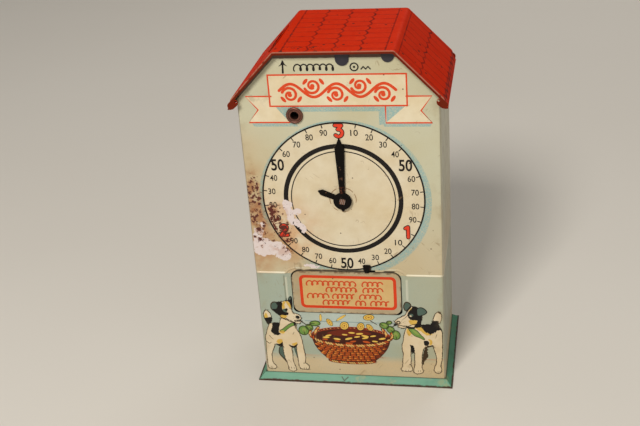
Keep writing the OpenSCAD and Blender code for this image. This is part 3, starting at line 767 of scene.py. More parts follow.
def shifted(loop, distance):
    """A closed loop moved outward by distance, or inward if it is negative."""
    before, after = [loop[-1], *loop[:-1]], [*loop[1:], loop[0]]
    area = sum(a[0] * b[1] - b[0] * a[1] for a, b in zip(before, loop))
    side = -1 if area > 0 else 1
    out = []
    for a, b, c in zip(before, loop, after):
        first, second = unit_normal(a, b), unit_normal(b, c)
        lean = max(0.35, 1 + first[0] * second[0] + first[1] * second[1])
        reach = side * distance / lean
        out.append((b[0] + reach * (first[0] + second[0]), b[1] + reach * (first[1] + second[1])))
    return out


def ribbon(points, width, end_width):
    """The outline of a line with round ends."""
    around_ends = [points[0], *points, points[-1]]
    sides = [unit_normal(a, b) for a, b in zip(around_ends, around_ends[2:])]
    last = len(points) - 1
    left, right = [], []
    for i, (point, side) in enumerate(zip(points, sides)):
        half = (width + (end_width - width) * i / last) / 2
        left.append((point[0] + side[0] * half, point[1] + side[1] * half))
        right.append((point[0] - side[0] * half, point[1] - side[1] * half))
    tip = cap(points[-1], sides[-1], end_width / 2)
    tail = cap(points[0], (-sides[0][0], -sides[0][1]), width / 2)
    return left + tip + right[::-1] + tail


def cap(centre, side, half, steps=4):
    """Points round the end of a line, from its left side to its right."""
    start = math.atan2(side[1], side[0])
    return [toward(centre, start - math.pi * k / steps, half) for k in range(1, steps)]


def rounded_box(low, high, radius, steps=6):
    left, right = low[0] + radius, high[0] - radius
    bottom, top = low[1] + radius, high[1] - radius
    points = []
    for quarter, centre in enumerate(((right, top), (left, top), (left, bottom), (right, bottom))):
        for k in range(steps + 1):
            points.append(toward(centre, math.radians(90 * quarter + 90 * k / steps), radius))
    return points


digit_cache = {}


def digit_shape(text, weight):
    """The flat mesh of some digits in the built-in font, as points and triangles."""
    key = (text, weight)
    if key not in digit_cache:
        curve = bpy.data.curves.new("digits", "FONT")
        curve.body = text
        curve.offset = weight
        curve.resolution_u = 4
        maker = bpy.data.objects.new("digits", curve)
        bpy.context.scene.collection.objects.link(maker)
        bpy.context.view_layer.update()
        mesh = bpy.data.meshes.new_from_object(maker.evaluated_get(bpy.context.evaluated_depsgraph_get()))
        mesh.calc_loop_triangles()
        points, index_of, renamed = [], {}, []
        for vertex in mesh.vertices:
            spot = (round(vertex.co.x, 5), round(vertex.co.y, 5))
            if spot not in index_of:
                index_of[spot] = len(points)
                points.append(spot)
            renamed.append(index_of[spot])
        triangles = [tuple(renamed[v] for v in t.vertices) for t in mesh.loop_triangles]
        triangles = [t for t in triangles if len(set(t)) == 3]
        bpy.data.objects.remove(maker)
        bpy.data.meshes.remove(mesh)
        digit_cache[key] = (points, triangles)
    return digit_cache[key]


def around(angle, radius, centre=RING):
    """A point at a clock angle in degrees from the top, clockwise."""
    turned = math.radians(angle)
    return centre[0] + radius * math.sin(turned), centre[1] + radius * math.cos(turned)


# ---- inks ----

inks = []


def new_ink(name, colour, layer, material=None, **sheet):
    """An ink with a material of its own, unless it shares one. Layers count outward from the sheet."""
    material = material or printed("ink_" + name.removeprefix("print_"), colour)
    inks.append(Ink(name, material, layer, **sheet))
    return inks[-1]


on_door = {"body": "door", "wall": DOOR_WALL, "slot": "door_print"}
blue_dots = printed("ink_stipple_blue", picture=stippled)
fold_blue = new_ink("print_fold_blue", None, 2, blue_dots)
label_field = new_ink("label_field", srgb(212, 180, 124), 0, **on_door)
label_red = new_ink("label_red", srgb(214, 62, 20), 1, **on_door)
label_ornament = new_ink("label_ornament", srgb(204, 78, 34), 2, **on_door)
shadow = new_ink("print_shadow_blue", None, 0, blue_dots)
cream = new_ink("print_dial_cream", CREAM, 1)
banner_cream = new_ink("print_banner_cream", BANNER_CREAM, 1)
red = new_ink("print_red", RED, 2)
dog_cream = new_ink("print_dog_cream", srgb(222, 208, 180), 2)
ochre = new_ink("print_ochre", srgb(214, 178, 84), 3)
slate = new_ink("print_slate", srgb(78, 100, 92), 3)
green = new_ink("print_green", srgb(108, 148, 72), 4)
brown = new_ink("print_basket_brown", srgb(74, 28, 8), 3)
orange = new_ink("print_basket_orange", srgb(180, 84, 24), 4)
yellow = new_ink("print_yellow", srgb(230, 194, 92), 5)
umber = new_ink("print_outline", srgb(62, 46, 26), 5)
black = new_ink("print_black", INK_BLACK, 6)
ear_light = new_ink("print_ear_light", None, 7, slate.material)
highlight = new_ink("print_highlight", None, 8, dog_cream.material)
straw = new_ink("print_basket_straw", srgb(224, 146, 64), 6)
leaf_dark = new_ink("print_leaf_dark", srgb(62, 76, 34), 6)
vein = new_ink("print_leaf_light", srgb(140, 162, 84), 5)
digit_red = new_ink("print_digit_red", srgb(226, 66, 40), 7)
coin_brown = new_ink("print_coin_brown", srgb(150, 92, 34), 6)
inside_brown = new_ink("print_basket_inside", srgb(64, 22, 8), 4)
inside_red = new_ink("print_basket_inside_red", srgb(106, 34, 10), 5)
rope_shade = new_ink("print_basket_shade", srgb(122, 46, 10), 4)
rim_red = new_ink("print_basket_rim_red", srgb(196, 70, 38), 5)
rope_dark = new_ink("print_rope_dark", srgb(84, 34, 16), 5)
rope_orange = new_ink("print_rope_orange", srgb(190, 84, 28), 6)
rope_light = new_ink("print_rope_light", srgb(226, 184, 110), 6)


# ---- dial, ribbon and sign ----


def dial_face():
    """The numbered ring, the heavy ring and the stippled halo."""
    above_door = DOOR_HIGH.z + 1.3
    shadow.fill([(x, max(z, above_door)) for x, z in circle(HALO, HALO_R, 120)])
    cream.dot(RING, RING_R, 120)
    black.ring(RING, RING_R - 0.36, RING_R + 0.3, 120)
    heavy_ring, fine_ring, marks = (22.6, 24.5), (21.05, 21.48), 30
    black.ring(DIAL, *heavy_ring, 120)
    black.ring(DIAL, *fine_ring, 120)
    for k in range(marks):
        angle = 360 * k / marks
        tens = 10 * (k % 10)
        black.stroke([around(angle, RING_R - 0.1), around(angle, RING_R - 1.6)], 0.38)
        if tens == 0:
            red_digit(str(3 if k == 0 else k // 10), around(angle, 29.6))
        elif tens == 50:
            black.glyphs("50", around(angle, 29.8), 5.1, 5.3, 0.02)
        else:
            black.glyphs(str(tens), around(angle, 29.4), 2.6, 3, 0.006)


BIG_DIGITS = {
    "1": (((-0.8, 1.7), (0.3, 2.4)), ((0.3, 2.4), (0.3, -2.4))),
    "2": (
        spline(
            [(-1.3, 1.4), (-0.7, 2.2), (0.4, 2.3), (1.2, 1.5), (0.9, 0.4), (-0.3, -1), (-1.4, -2.3)],
            closed=False,
        ),
        ((-1.4, -2.3), (1.4, -2.3)),
    ),
    "3": (
        ((-1.4, 2.3), (1.2, 2.3)),
        ((1.2, 2.3), (-0.3, 0.6)),
        spline([(-0.3, 0.6), (0.8, 0.4), (1.4, -0.7), (0.9, -2), (-0.3, -2.4), (-1.3, -1.8)], closed=False),
    ),
}


def red_digit(text, centre):
    """A large red digit with a black outline, drawn in strokes."""
    for ink, width in ((black, 1.85), (digit_red, 1.15)):
        for line in BIG_DIGITS[text]:
            ink.stroke([(centre[0] + x, centre[1] + z) for x, z in line], width)


def banner():
    """A ribbon with forked tails. Running scrolls stand where a title would be."""
    low, high = (-26.5, 129.5), (27.3, 142.3)
    line = 0.62
    box = [low, (high[0], low[1]), high, (low[0], high[1])]
    left_tail = [
        (-25.8, 133.6), (-36.1, 133.6), (-31.5, 128), (-35.6, 122.7), (-19.1, 122.7), (-19.1, 128.2),
    ]
    left_fold = [(-19.1, 122.7), (-24.6, 129.5), (-19.1, 129.5)]
    right_tail = [(27, 133.3), (36.7, 133.3), (32.5, 127.4), (36.8, 122.4), (18.9, 122.4), (18.9, 129.5)]
    right_fold = [(19.2, 129.3), (26.6, 129.3), (19.2, 122.8)]
    for tail in (left_tail, right_tail):
        banner_cream.fill(tail)
        red.stroke(tail, line)
    banner_cream.fill(box)
    red.outline(box, line)
    fold_blue.fill(left_fold)
    fold_blue.fill(right_fold)
    shadow.fill([(-24, 129.4), (-20.5, 127.2), (16.2, 127.2), (16.2, 121.6), (18.8, 121.6), (18.8, 129.4)])
    shadow.fill([(-34.8, 122.7), (-33.6, 121), (-15.5, 121), (-18, 122.7)])
    shadow.fill([(18, 122.5), (18, 120.8), (36, 120.8), (36.6, 122.3)])
    scrolls()


def scrolls():
    """A vine across the ribbon: a waving stem with a curl and a leaf in the hollow of every bend."""
    start, end, middle, swing, bends = -22.4, 23.2, 135.9, 2.7, 5
    pitch = (end - start) / bends
    steps = 16
    for k in range(bends):
        side = -1 if k % 2 == 0 else 1
        stem = []
        for i in range(steps + 1):
            share = i / steps
            stem.append((start + pitch * (k + share), middle - side * swing * math.sin(math.pi * share)))
        red.stroke(stem, 1.15)
        hollow = (start + pitch * (k + 0.46), middle + side * 1.8)
        red.stroke(spiral(hollow, 3.2, 1.25, -side * 160, side), 1.15, 0.85)
        red.dot(hollow, 0.9, 20)
        for reach, lean in ((0.16, 40), (0.87, -35)):
            leaf = (start + pitch * (k + reach), middle + side * 3.6)
            red.dot(leaf, 1.5, 20, 0.45, side * (90 - lean))


def spiral(centre, radius, turns, start, way):
    """A curl that winds in from radius, starting at a given angle in degrees. way is 1 or -1."""
    steps = int(20 * turns)
    points = []
    for k in range(steps + 1):
        share = k / steps
        angle = math.radians(start + way * 360 * turns * share)
        points.append(toward(centre, angle, radius * (1 - 0.7 * share)))
    return points


def looped_line(ink, low_x, high_x, z, height, pitch, width):
    """Running loops, drawn in short overlapping pieces so that every piece is a plain shape."""
    length = high_x - low_x
    steps = int(length / pitch * 14)
    points = []
    for k in range(steps + 1):
        share = k / steps
        angle = 2 * math.pi * length / pitch * share
        x = low_x + length * share - 0.32 * pitch * math.sin(angle)
        points.append((x, z - height / 2 * math.cos(angle)))
    piece = 6
    for start in range(0, steps, piece):
        ink.stroke(points[start:start + piece + 1], width)


def top_sign():
    """The arrow that points to the coin slot, and an ornament beside it."""
    x = -20
    black.stroke([(x - 0.2, 143.2), (x, 147.2)], 0.75, 0.6)
    black.fill(
        [(x, 148.4), (x - 0.85, 146.6), (x - 1.8, 145.7), (x, 146.5), (x + 1.7, 145.8), (x + 0.8, 146.7)]
    )
    looped_line(black, -15.6, 0.2, 145.2, 2.6, 2.5, 0.5)
    black.ring((7.6, 145.2), 1.25, 1.75, 32)
    black.dot((7.6, 145.2), 0.45, 16)
    for k in range(4):
        black.stroke([(10.2 + 0.9 * k, 144.3 + (k % 2)), (11.1 + 0.9 * k, 145.3 - (k % 2))], 0.45)


# ---- dogs, coins, basket and label ----

HAIR = 0.3  # width of the drawn outlines


def patch(ink, points):
    """A filled shape without an outline."""
    ink.fill(spline(points))


def drawn(ink, points, width=HAIR):
    """A filled shape with a dark outline."""
    loop = spline(points)
    ink.fill(loop)
    umber.outline(loop, width)


def pen(points, width=HAIR, end=None):
    """A curved dark line, which may taper."""
    umber.stroke(spline(points, closed=False), width, end)


def fringe(ink, loop, width, length, lean):
    """Short tapering strokes along a closed loop, each turned at random by up to lean degrees."""
    draw = random.Random(len(loop))
    walked = 0
    for a, b in zip(loop, loop[1:] + loop[:1]):
        walked += math.dist(a, b)
        if walked < 0.7 * length:
            continue
        walked = 0
        heading = math.atan2(b[1] - a[1], b[0] - a[0]) + math.radians(draw.uniform(-lean, lean))
        reach = length * draw.uniform(0.7, 1.2)
        ink.stroke([b, toward(b, heading, reach)], width * draw.uniform(0.7, 1.3), 0.3 * width)


def furry(points):
    """A cream shape whose outline is broken like a rough coat."""
    loop = spline(points)
    dog_cream.fill(loop)
    umber.outline(loop, 0.17)
    fringe(umber, loop, 0.36, 1, 18)


def shaggy(ink, points, length=0.8):
    """A coloured patch of coat with a tufted edge."""
    loop = spline(points)
    ink.fill(loop)
    fringe(ink, loop, 0.45, length, 50)


def toes(places, top, bottom, slant, width):
    """A short line between two toes at each x."""
    for x in places:
        pen([(x, top), (x + slant, bottom)], width, 0.12)


def whisker_dots(x, z):
    """Two rows of dots on a muzzle."""
    for k in range(6):
        umber.dot((x + 0.7 * (k % 3), z + 0.6 * (k // 3) + 0.2 * (k % 2)), 0.1, 8)


def left_dog():
    """A terrier that stands on the left and looks at the basket."""
    tail = [
        (-36.7, 28.2), (-37.8, 29.8), (-38.4, 31.4), (-38.5, 33.3), (-37.9, 34.7), (-37.1, 35.2),
        (-36.2, 34.6), (-35.4, 33.3), (-35.1, 31.6), (-35.4, 29.8),
    ]
    furry(tail)
    patch(ochre, [(-38.1, 31), (-38.2, 32.6), (-37.4, 33.8), (-36.8, 32.6), (-36.9, 31.2)])
    shaggy(black, [
        (-38, 31), (-36.8, 31.2), (-35.2, 31.4), (-35.3, 29.7), (-36.2, 28.4), (-36.9, 28.1), (-37.6, 29.4),
    ], 0.6)
    slate_leg = [
        (-32.5, 16.6), (-33.2, 14.2), (-33, 12.4), (-31.8, 10.6), (-30.6, 9), (-30.8, 11.2), (-31.3, 13.4),
        (-31.3, 16.6),
    ]
    patch(slate, slate_leg)
    patch(dog_cream, [
        (-32.2, 16.2), (-32.8, 14.2), (-32.4, 12.6), (-31.8, 12.2), (-31.7, 14), (-31.8, 16.2),
    ])
    furry([
        (-36.2, 28.4), (-37.2, 26.2), (-38.1, 23.6), (-38.8, 21.2), (-38.8, 18.6), (-38.9, 15), (-39, 10),
        (-39, 6.8), (-38.6, 4.9), (-37, 4.5), (-35.3, 4.9), (-35.3, 6.2), (-36.2, 7.2), (-36.7, 9),
        (-36.6, 12), (-36, 14.2), (-35.2, 16), (-34.6, 17.6), (-33.2, 17), (-32, 16.6), (-31.3, 17.2),
        (-31.2, 14), (-30.9, 11), (-30.2, 8.6), (-29.7, 6.2), (-29.4, 4.4), (-27.8, 3.5), (-26.3, 4),
        (-26.2, 5.4), (-26.8, 7.4), (-27.2, 10), (-27.2, 13), (-27.3, 16.4), (-26.2, 16.7), (-25.2, 17.2),
        (-25.2, 14.6), (-25, 11), (-24.8, 7.6), (-24.3, 5.4), (-22.6, 4.8), (-20.6, 5), (-20.2, 6.4),
        (-20.9, 7.5), (-21.7, 8.3), (-21.5, 11), (-21.7, 14.6), (-22.1, 18), (-22.5, 21), (-23.2, 23.6),
        (-24.2, 25.8), (-24.6, 28.6), (-27, 30.4), (-30.4, 31.4), (-31.4, 30.2), (-31.8, 28.8),
        (-33.6, 28.9), (-35, 28.7),
    ])
    pen([(-32.8, 16.2), (-33.3, 14), (-32.9, 12.2), (-31.6, 10.4), (-30.3, 8.6)], 0.3, 0.6)
    patch(slate, [(-26.3, 16.2), (-25.6, 16.4), (-25.3, 13.4), (-25.3, 10.8), (-25.7, 12.6), (-26.1, 14.2)])
    shaggy(black, [
        (-34.7, 28.6), (-33.2, 28.7), (-31.9, 28.6), (-32.2, 27), (-32.6, 25.2), (-32.6, 24), (-32.1, 23.2),
        (-33, 22.7), (-34.3, 22.8), (-35.3, 23.8), (-35.8, 24.6), (-35.1, 26.4),
    ], 0.5)
    shaggy(ochre, [(-33.8, 19), (-32.8, 20.2), (-31.5, 20), (-31.5, 18.4), (-32.8, 18)], 0.6)
    patch(black, [
        (-34.4, 17.9), (-32.8, 17.8), (-31.9, 18.4), (-31.2, 18.9), (-31.4, 17), (-32.2, 16.3), (-33.4, 17),
    ])
    patch(ochre, [(-27.2, 18), (-26, 18.6), (-24.8, 19), (-24.8, 17.8), (-26, 17)])
    patch(black, [
        (-28.6, 17.7), (-27, 17), (-25.8, 17.3), (-24.5, 18.3), (-25, 17), (-26, 16.1), (-27.6, 16.3),
    ])
    pen([(-38.5, 19), (-37.2, 18), (-36.4, 18.6)], 0.4, 0.15)
    pen([(-36.9, 22.2), (-36.1, 21), (-35.3, 20.2)], 0.25, 0.12)
    pen([(-26.2, 23.2), (-25.6, 24.4)], 0.25, 0.12)
    pen([(-22.6, 8), (-21.4, 8.2)], 0.35, 0.15)
    toes((-37.4, -28.4, -27.2, -22.6, -21.6), 5.6, 4.8, 0.15, 0.25)
    head_left()
    drawn(green, [
        (-32, 24.8), (-30.6, 25.8), (-28.8, 27.4), (-27, 28.7), (-25.2, 29.3), (-24.8, 28), (-26.4, 27.3),
        (-28.4, 25.8), (-29.6, 24.6), (-31, 24.2),
    ], 0.25)
    patch(yellow, [(-32.3, 24.4), (-30.9, 24.9), (-29.7, 24.5), (-30.3, 23.4), (-31.6, 23.5)])
    patch(black, [(-25.6, 29), (-24.7, 29.3), (-24.6, 27.6), (-24.8, 26), (-25.1, 27.4)])


def head_left():
    """The left terrier's head: a dark cap and ears, a white blaze and a broad muzzle."""
    furry([(-24.6, 29.9), (-23.2, 29.9), (-22.1, 30.1), (-22.4, 29.2), (-23.6, 28.8), (-24.6, 29.1)])
    furry([
        (-30.4, 39.4), (-28.8, 40.1), (-27.4, 40.3), (-26.4, 39.5), (-25.9, 37.6), (-25.7, 36),
        (-25.1, 34.4), (-22.7, 33.3), (-21.9, 31.8), (-22.3, 30.8), (-23.6, 30.3), (-25.2, 29.6),
        (-26.6, 29.6), (-28, 30.4), (-30, 31.2), (-31.2, 32.4), (-32, 34.4), (-31.4, 37.4),
    ])
    patch(ochre, [
        (-29.9, 38.4), (-29, 39.9), (-28.2, 39.6), (-28.8, 38.2), (-28.6, 36.8), (-29.6, 36), (-29.9, 37.2),
    ])
    patch(ochre, [
        (-28.2, 40.3), (-27, 39.8), (-26.1, 38.4), (-25.7, 36.8), (-26.2, 36.4), (-26.9, 37.4),
        (-27.6, 38.8),
    ])
    shaggy(ochre, [(-31, 32.7), (-29.4, 33), (-28.3, 32.4), (-29.5, 31.3), (-30.7, 31.7)], 0.5)
    drawn(slate, [
        (-34.9, 37.2), (-34.6, 38.6), (-33.5, 39.5), (-32.2, 39.3), (-31.2, 38.4), (-31.6, 36.4),
        (-32.6, 35.2), (-33.9, 35.3), (-34.7, 36),
    ], 0.45)
    shaggy(black, [
        (-32.2, 39.1), (-30.7, 39.6), (-29.8, 38.9), (-30.1, 37.2), (-30, 35.6), (-29.4, 34.6),
        (-28.2, 34.2), (-27.5, 33.8), (-28.2, 33.1), (-30, 33.2), (-31.6, 33), (-33, 34.3), (-34.2, 35.6),
        (-33, 35.8), (-32, 36.6), (-31.6, 37.8),
    ], 0.45)
    slate.dot((-28.8, 35.3), 1.1, 20, 0.9)
    black.dot((-28.1, 35.8), 0.72, 20, 0.8, 60)
    patch(black, [
        (-27, 40.2), (-26.8, 41.6), (-26, 42.6), (-25.2, 42.2), (-25.1, 39.6), (-25.2, 37.4), (-25.5, 36.2),
        (-25.8, 38.2), (-26.3, 39.4),
    ])
    patch(ear_light, [(-26.6, 41.2), (-26.1, 42.2), (-25.7, 42), (-25.9, 40.9)])
    black.stroke([(-27.9, 40.2), (-27.6, 41.7)], 0.6, 0.15)
    pen([(-25.8, 36.6), (-25.5, 35.9)], 0.6, 0.3)
    black.dot((-23.4, 32.1), 0.95, 24, 0.85, -35)
    pen([(-22, 31.9), (-21.4, 31.6)], 0.5, 0.2)
    pen([(-25, 30.4), (-23.8, 30.6), (-22.6, 30.9)], 0.35, 0.2)
    pen([(-28, 30.5), (-27, 29.8), (-25.6, 29.7)], 0.5, 0.25)
    pen([(-26.8, 36.8), (-25.6, 35.4), (-24.6, 33.4)], 0.14)
    whisker_dots(-25.2, 31.4)


def right_dog():
    """A terrier with a shaggy dark back that stands on the right and looks at the basket."""
    furry([
        (35.2, 31.8), (35.4, 34), (36.2, 36), (37.5, 36.9), (38.6, 36), (38.8, 34), (38.4, 32.4),
        (37.4, 31.2),
    ])
    patch(brown, [(37.2, 36.8), (38.4, 36.9), (38.6, 35.9), (37.9, 36.1)])
    furry([
        (24, 28.6), (23, 26.6), (22.5, 24.6), (22.2, 22), (21.6, 19.5), (21.6, 17.6), (21.9, 15), (21.7, 12),
        (21.6, 10), (21.4, 8.4), (20.8, 7.2), (21.4, 6.2), (23.4, 5.9), (25.2, 6.2), (25.8, 7.4), (25.3, 9),
        (25.3, 12), (25.3, 15), (25.4, 18.4), (26.3, 18.8), (26.8, 16), (26.8, 12), (26.7, 9.2), (26.3, 7.2),
        (26.4, 5.8), (27.4, 4.9), (29.6, 5.2), (30.4, 6.4), (30, 8), (30, 11), (30.2, 15), (30.8, 17.6),
        (32.2, 19.2), (34.6, 19.6), (35.4, 17.6), (36, 15.4), (36.3, 13), (36, 10.6), (35.4, 8.6),
        (35.2, 6.8), (36.2, 5.8), (37.8, 5.8), (38.4, 7.4), (38.2, 9.6), (38.6, 12.5), (38.9, 16), (39, 20),
        (39, 24), (38.8, 27.6), (37, 30.4), (33.6, 30.4), (30.4, 30.2), (27, 30.4),
    ])
    shaggy(umber, [
        (31.8, 18.8), (32.4, 18), (32.2, 16.2), (32.6, 14.8), (32, 13.2), (31, 11.6), (30.4, 9.9),
        (30.3, 11.6), (30.4, 13.6), (30.8, 15.6), (31.3, 17.4),
    ], 0.6)
    shaggy(black, [(25.3, 19.6), (26.3, 19.2), (26.7, 17.2), (26.1, 15.7), (25.6, 16.8), (25.6, 18.4)], 0.5)
    shaggy(ochre, [
        (27.6, 28.8), (30.4, 29.2), (31, 27.6), (32.4, 26.3), (34.2, 25.7), (32.6, 25.3), (31.2, 25.9),
        (30.2, 26.9), (28.6, 27.8),
    ], 0.7)
    shaggy(ochre, [(24.1, 27.8), (25, 27), (25.6, 25.6), (24.8, 24.7), (23.9, 26.2)], 0.6)
    patch(ochre, [(32.8, 22.9), (34.2, 22.8), (34.7, 21.4), (34.2, 20.2), (33.3, 20.4), (33.6, 21.8)])
    shaggy_back()
    patch(black, [
        (31, 21.8), (31.4, 22.2), (32.6, 22.2), (33.3, 21.4), (33, 20.2), (32.2, 19.6), (31.2, 20.1),
    ])
    pen([(31.4, 18.7), (32.8, 19.1), (34.7, 19.8)], 0.5, 0.7)
    pen([(34.9, 19.2), (35.6, 16.8), (36.2, 14.4)], 0.3, 0.15)
    pen([(36.6, 25.6), (36, 23.6)], 0.2, 0.1)
    pen([(24.6, 9.6), (25.6, 8.9)], 0.4, 0.15)
    pen([(26.9, 9.6), (26.5, 8.4)], 0.45, 0.2)
    toes((22.8, 23.9, 28.2, 29.2, 36.8, 37.6), 6.6, 5.9, 0.1, 0.22)
    head_right()
    drawn(green, [
        (24.6, 28.2), (26.6, 28.2), (28.4, 27), (29.8, 25.2), (31.4, 23.2), (31, 22.7), (29.4, 23.6),
        (27.4, 24.4), (25.9, 25.8),
    ], 0.25)
    patch(vein, [(26.2, 27.6), (27.8, 26.8), (29.2, 25.2), (28, 25.3), (26.8, 26.4)])


def head_right():
    """The right terrier's head: a dark mask round the eye, a narrow blaze and a long muzzle."""
    furry([(20.4, 29.7), (22, 29.4), (23.8, 29.3), (23.4, 28.5), (21.6, 28.3), (20.4, 28.8)])
    furry([
        (18.9, 31.4), (19.7, 32.6), (21.2, 33.6), (23.4, 35.1), (24.4, 37.4), (25.6, 38.9), (27, 39.3),
        (28.7, 38.6), (29.8, 36.6), (30.4, 34.2), (30, 31.6), (29, 29.6), (26.6, 28.9), (23.8, 29.2),
        (21.6, 29.5), (20, 29.9),
    ])
    patch(ochre, [(25.2, 37.4), (26.6, 38.9), (27, 38.6), (25.8, 37), (24.9, 35.8)])
    shaggy(ochre, [
        (25.2, 32.2), (26.6, 32.2), (28, 32.4), (28.3, 31.2), (27.3, 30.1), (26, 30.3), (25.3, 31.1),
    ], 0.6)
    drawn(slate, [
        (23.5, 37.2), (22.9, 38.8), (23.2, 40.4), (24, 41.3), (25.2, 41), (26, 39.8), (25.3, 38.6),
        (24.5, 37.6),
    ], 0.45)
    patch(black, [(24.1, 37.2), (24.8, 38.2), (25.9, 39.3), (26, 38.7), (25, 37.4), (24.2, 36.2)])
    shaggy(black, [
        (25.2, 36.6), (26.4, 38.2), (27, 39.2), (28, 39.1), (29, 38.2), (29.2, 35.8), (30.3, 35.2),
        (30.2, 33), (29.9, 31), (29.8, 29.3), (27.7, 28.9), (27.5, 29.8), (28.4, 31), (28.6, 32.5),
        (27.6, 32.6), (26, 32.7), (25, 33.6), (24.6, 34.9),
    ], 0.5)
    patch(ear_light, [
        (28.8, 38.2), (30.4, 38.6), (31.8, 37.7), (32.4, 36.6), (31.5, 35.7), (30.2, 35.1), (28.9, 35),
        (28.6, 36.5),
    ])
    loop = spline([
        (28.7, 38.3), (30.4, 38.8), (31.9, 37.9), (32.6, 36.6), (31.6, 35.5), (30.2, 34.9), (28.8, 34.9),
        (28.5, 36.5),
    ])
    black.outline(loop, 0.4)
    ear_light.dot((26, 34.9), 0.85, 20, 0.9)
    highlight.dot((25.7, 34.5), 0.42, 16)
    umber.ring((20.4, 31), 0.45, 0.95, 24)
    pen([(18.9, 31.4), (19.3, 30.5), (20, 29.9)], 0.35)
    black.dot((19, 29.8), 0.7, 20, 0.8)
    patch(black, [(23.6, 29.3), (25.4, 28.8), (27.4, 28.9), (27.2, 28.2), (25.2, 28), (23.8, 28.6)])
    pen([(24.4, 34.6), (23, 33.2), (21.8, 32.2)], 0.2, 0.1)
    whisker_dots(21.8, 30.8)


def shaggy_back():
    """The dark saddle of the right terrier, with tufts along its lower edge."""
    shaggy(black, [
        (30.2, 30), (32.6, 30.5), (34, 30.5), (35.3, 32.1), (36.4, 32.4), (37.4, 32), (37.2, 30.6),
        (37.8, 29), (38.6, 28), (37, 28), (36, 27.1), (35.2, 26.3), (34.6, 26.1), (33.6, 25.8), (33.2, 26.4),
        (32.2, 26.6), (31.4, 27.5), (30.8, 28.6),
    ], 0.9)


def coin(centre, radius, squash, tilt):
    """A yellow coin with a rim and a small curl for its face."""
    yellow.dot(centre, radius, 28, squash, tilt)
    black.fill(
        circle(centre, radius + 0.08, 28, squash, tilt), circle(centre, radius - 0.16, 28, squash, tilt)
    )
    if squash > 0.5:
        inner, outer = (circle(centre, radius * share, 24, squash, tilt) for share in (0.5, 0.62))
        coin_brown.fill(outer, inner)
        coin_brown.dot(centre, radius * 0.22, 16, squash * 0.8, tilt)


def falling_coins():
    """The coins that fall toward the basket, some flat to the eye and some nearly edge-on."""
    coin((-13.3, 32.2), 1.9, 0.28, 88)
    coin((-9.5, 30), 2, 0.55, -58)
    coin((-4.3, 32.5), 2.7, 0.2, 36)
    coin((-3.1, 28.5), 2.1, 0.9, 60)
    coin((7.7, 33.1), 2.4, 0.62, 8)
    coin((4, 28.3), 2, 0.8, 70)
    coin((7.9, 28), 1.9, 0.62, -52)
    pen([(8.4, 31.4), (10.2, 30.2), (11.2, 29.4)], 0.35, 0.2)


BASKET_MIDDLE = -0.6
RIM_Z = 22.9
RIM_W, RIM_H = 17.2, 4.6


def rim_point(angle):
    """A point on the basket's rim at an angle in degrees, 0 at the right and 90 at the back."""
    turned = math.radians(angle)
    return BASKET_MIDDLE + RIM_W * math.cos(turned), RIM_Z + RIM_H * math.sin(turned)


def basket_wall(share, across):
    """A point on the front of the bowl. share is 0 at the rim and 1 at the foot, across is -1 to 1."""
    half = RIM_W - 6.9 * share ** 2.1
    sag = (RIM_H - 3.1 * share) * math.sqrt(max(0, 1 - across * across))
    return BASKET_MIDDLE + half * across, RIM_Z - 12.2 * share - sag


def basket():
    """A round woven basket of coins: dark bowl, rows of withies, a twisted rim and a foot."""
    left = [basket_wall(k / 10, -1) for k in range(11)]
    bottom = [basket_wall(1, -1 + k / 6) for k in range(13)]
    right = [basket_wall(k / 10, 1) for k in range(10, -1, -1)]
    front_rim = [rim_point(-k * 10) for k in range(19)]
    brown.fill(left + bottom[1:-1] + right + front_rim[1:-1])
    inside_brown.dot((BASKET_MIDDLE, RIM_Z), RIM_W, 64, RIM_H / RIM_W)
    patch(inside_red, [(-11, 24.4), (-6, 26.2), (0, 26.6), (6, 26), (8.4, 24.6), (3, 23.4), (-6, 23.2)])
    rim_red.stroke([rim_point(k * 6) for k in range(2, 29)], 1.1)
    draw = random.Random(5)
    rows = 8
    for row in range(rows):
        share = 0.13 + 0.103 * row
        count = 14 - row // 2
        for k in range(-1, count + 1):
            middle = -1 + 2 * (k + 0.5 * (row % 2) + 0.25) / count
            reach = 0.58 / count
            if abs(middle) + reach > 0.985:
                continue
            withy = [basket_wall(share, middle + side * reach) for side in (-1, 0, 1)]
            shaded = middle > 0.8 - 0.05 * (row % 2) or middle < -0.9
            (rope_shade if shaded else orange).stroke(withy, 0.7)
            if draw.random() < (0.2 if shaded else 0.75):
                light = [(x, z + 0.12) for x, z in withy[:2]]
                (rope_orange if draw.random() < 0.3 else straw).stroke(light, 0.42, 0.3)
    rope([basket_wall(1, -0.98 + 0.098 * k) for k in range(21)], 1.15, 21)
    rope([basket_wall(0, -1 + k / 20) for k in range(41)], 1.6, 30)
    rope([rim_point(166 - 152 * k / 24) for k in range(25)], 0.7, 25)
    for side in (-1, 1):
        x = BASKET_MIDDLE + side * RIM_W
        outer = [(x + side * 0.2, 22.2), (x + side * 0.9, 24), (x + side * 0.4, 25.4)]
        inner = [(x - side * 1.6, 23.6), (x - side * 1.9, 25.4), (x - side * 3.2, 27.2)]
        rope(spline(outer, closed=False), 1.25, 5)
        rope(spline(inner, closed=False), 1.25, 6)
    coins_inside()


def rope(path, thick, count):
    """A twist of slanting strands laid along a path."""
    rope_dark.stroke(path, thick * 1.1)
    last = len(path) - 1
    for k in range(count):
        where = (k + 0.5) / count * last
        i = min(int(where), last - 1)
        t = where - i
        x = path[i][0] + (path[i + 1][0] - path[i][0]) * t
        z = path[i][1] + (path[i + 1][1] - path[i][1]) * t
        tilt = math.degrees(math.atan2(path[i + 1][1] - path[i][1], path[i + 1][0] - path[i][0]))
        ink = rope_light if k % 4 else rope_orange
        ink.dot((x, z), thick * 0.6, 12, 0.35, tilt - 38)


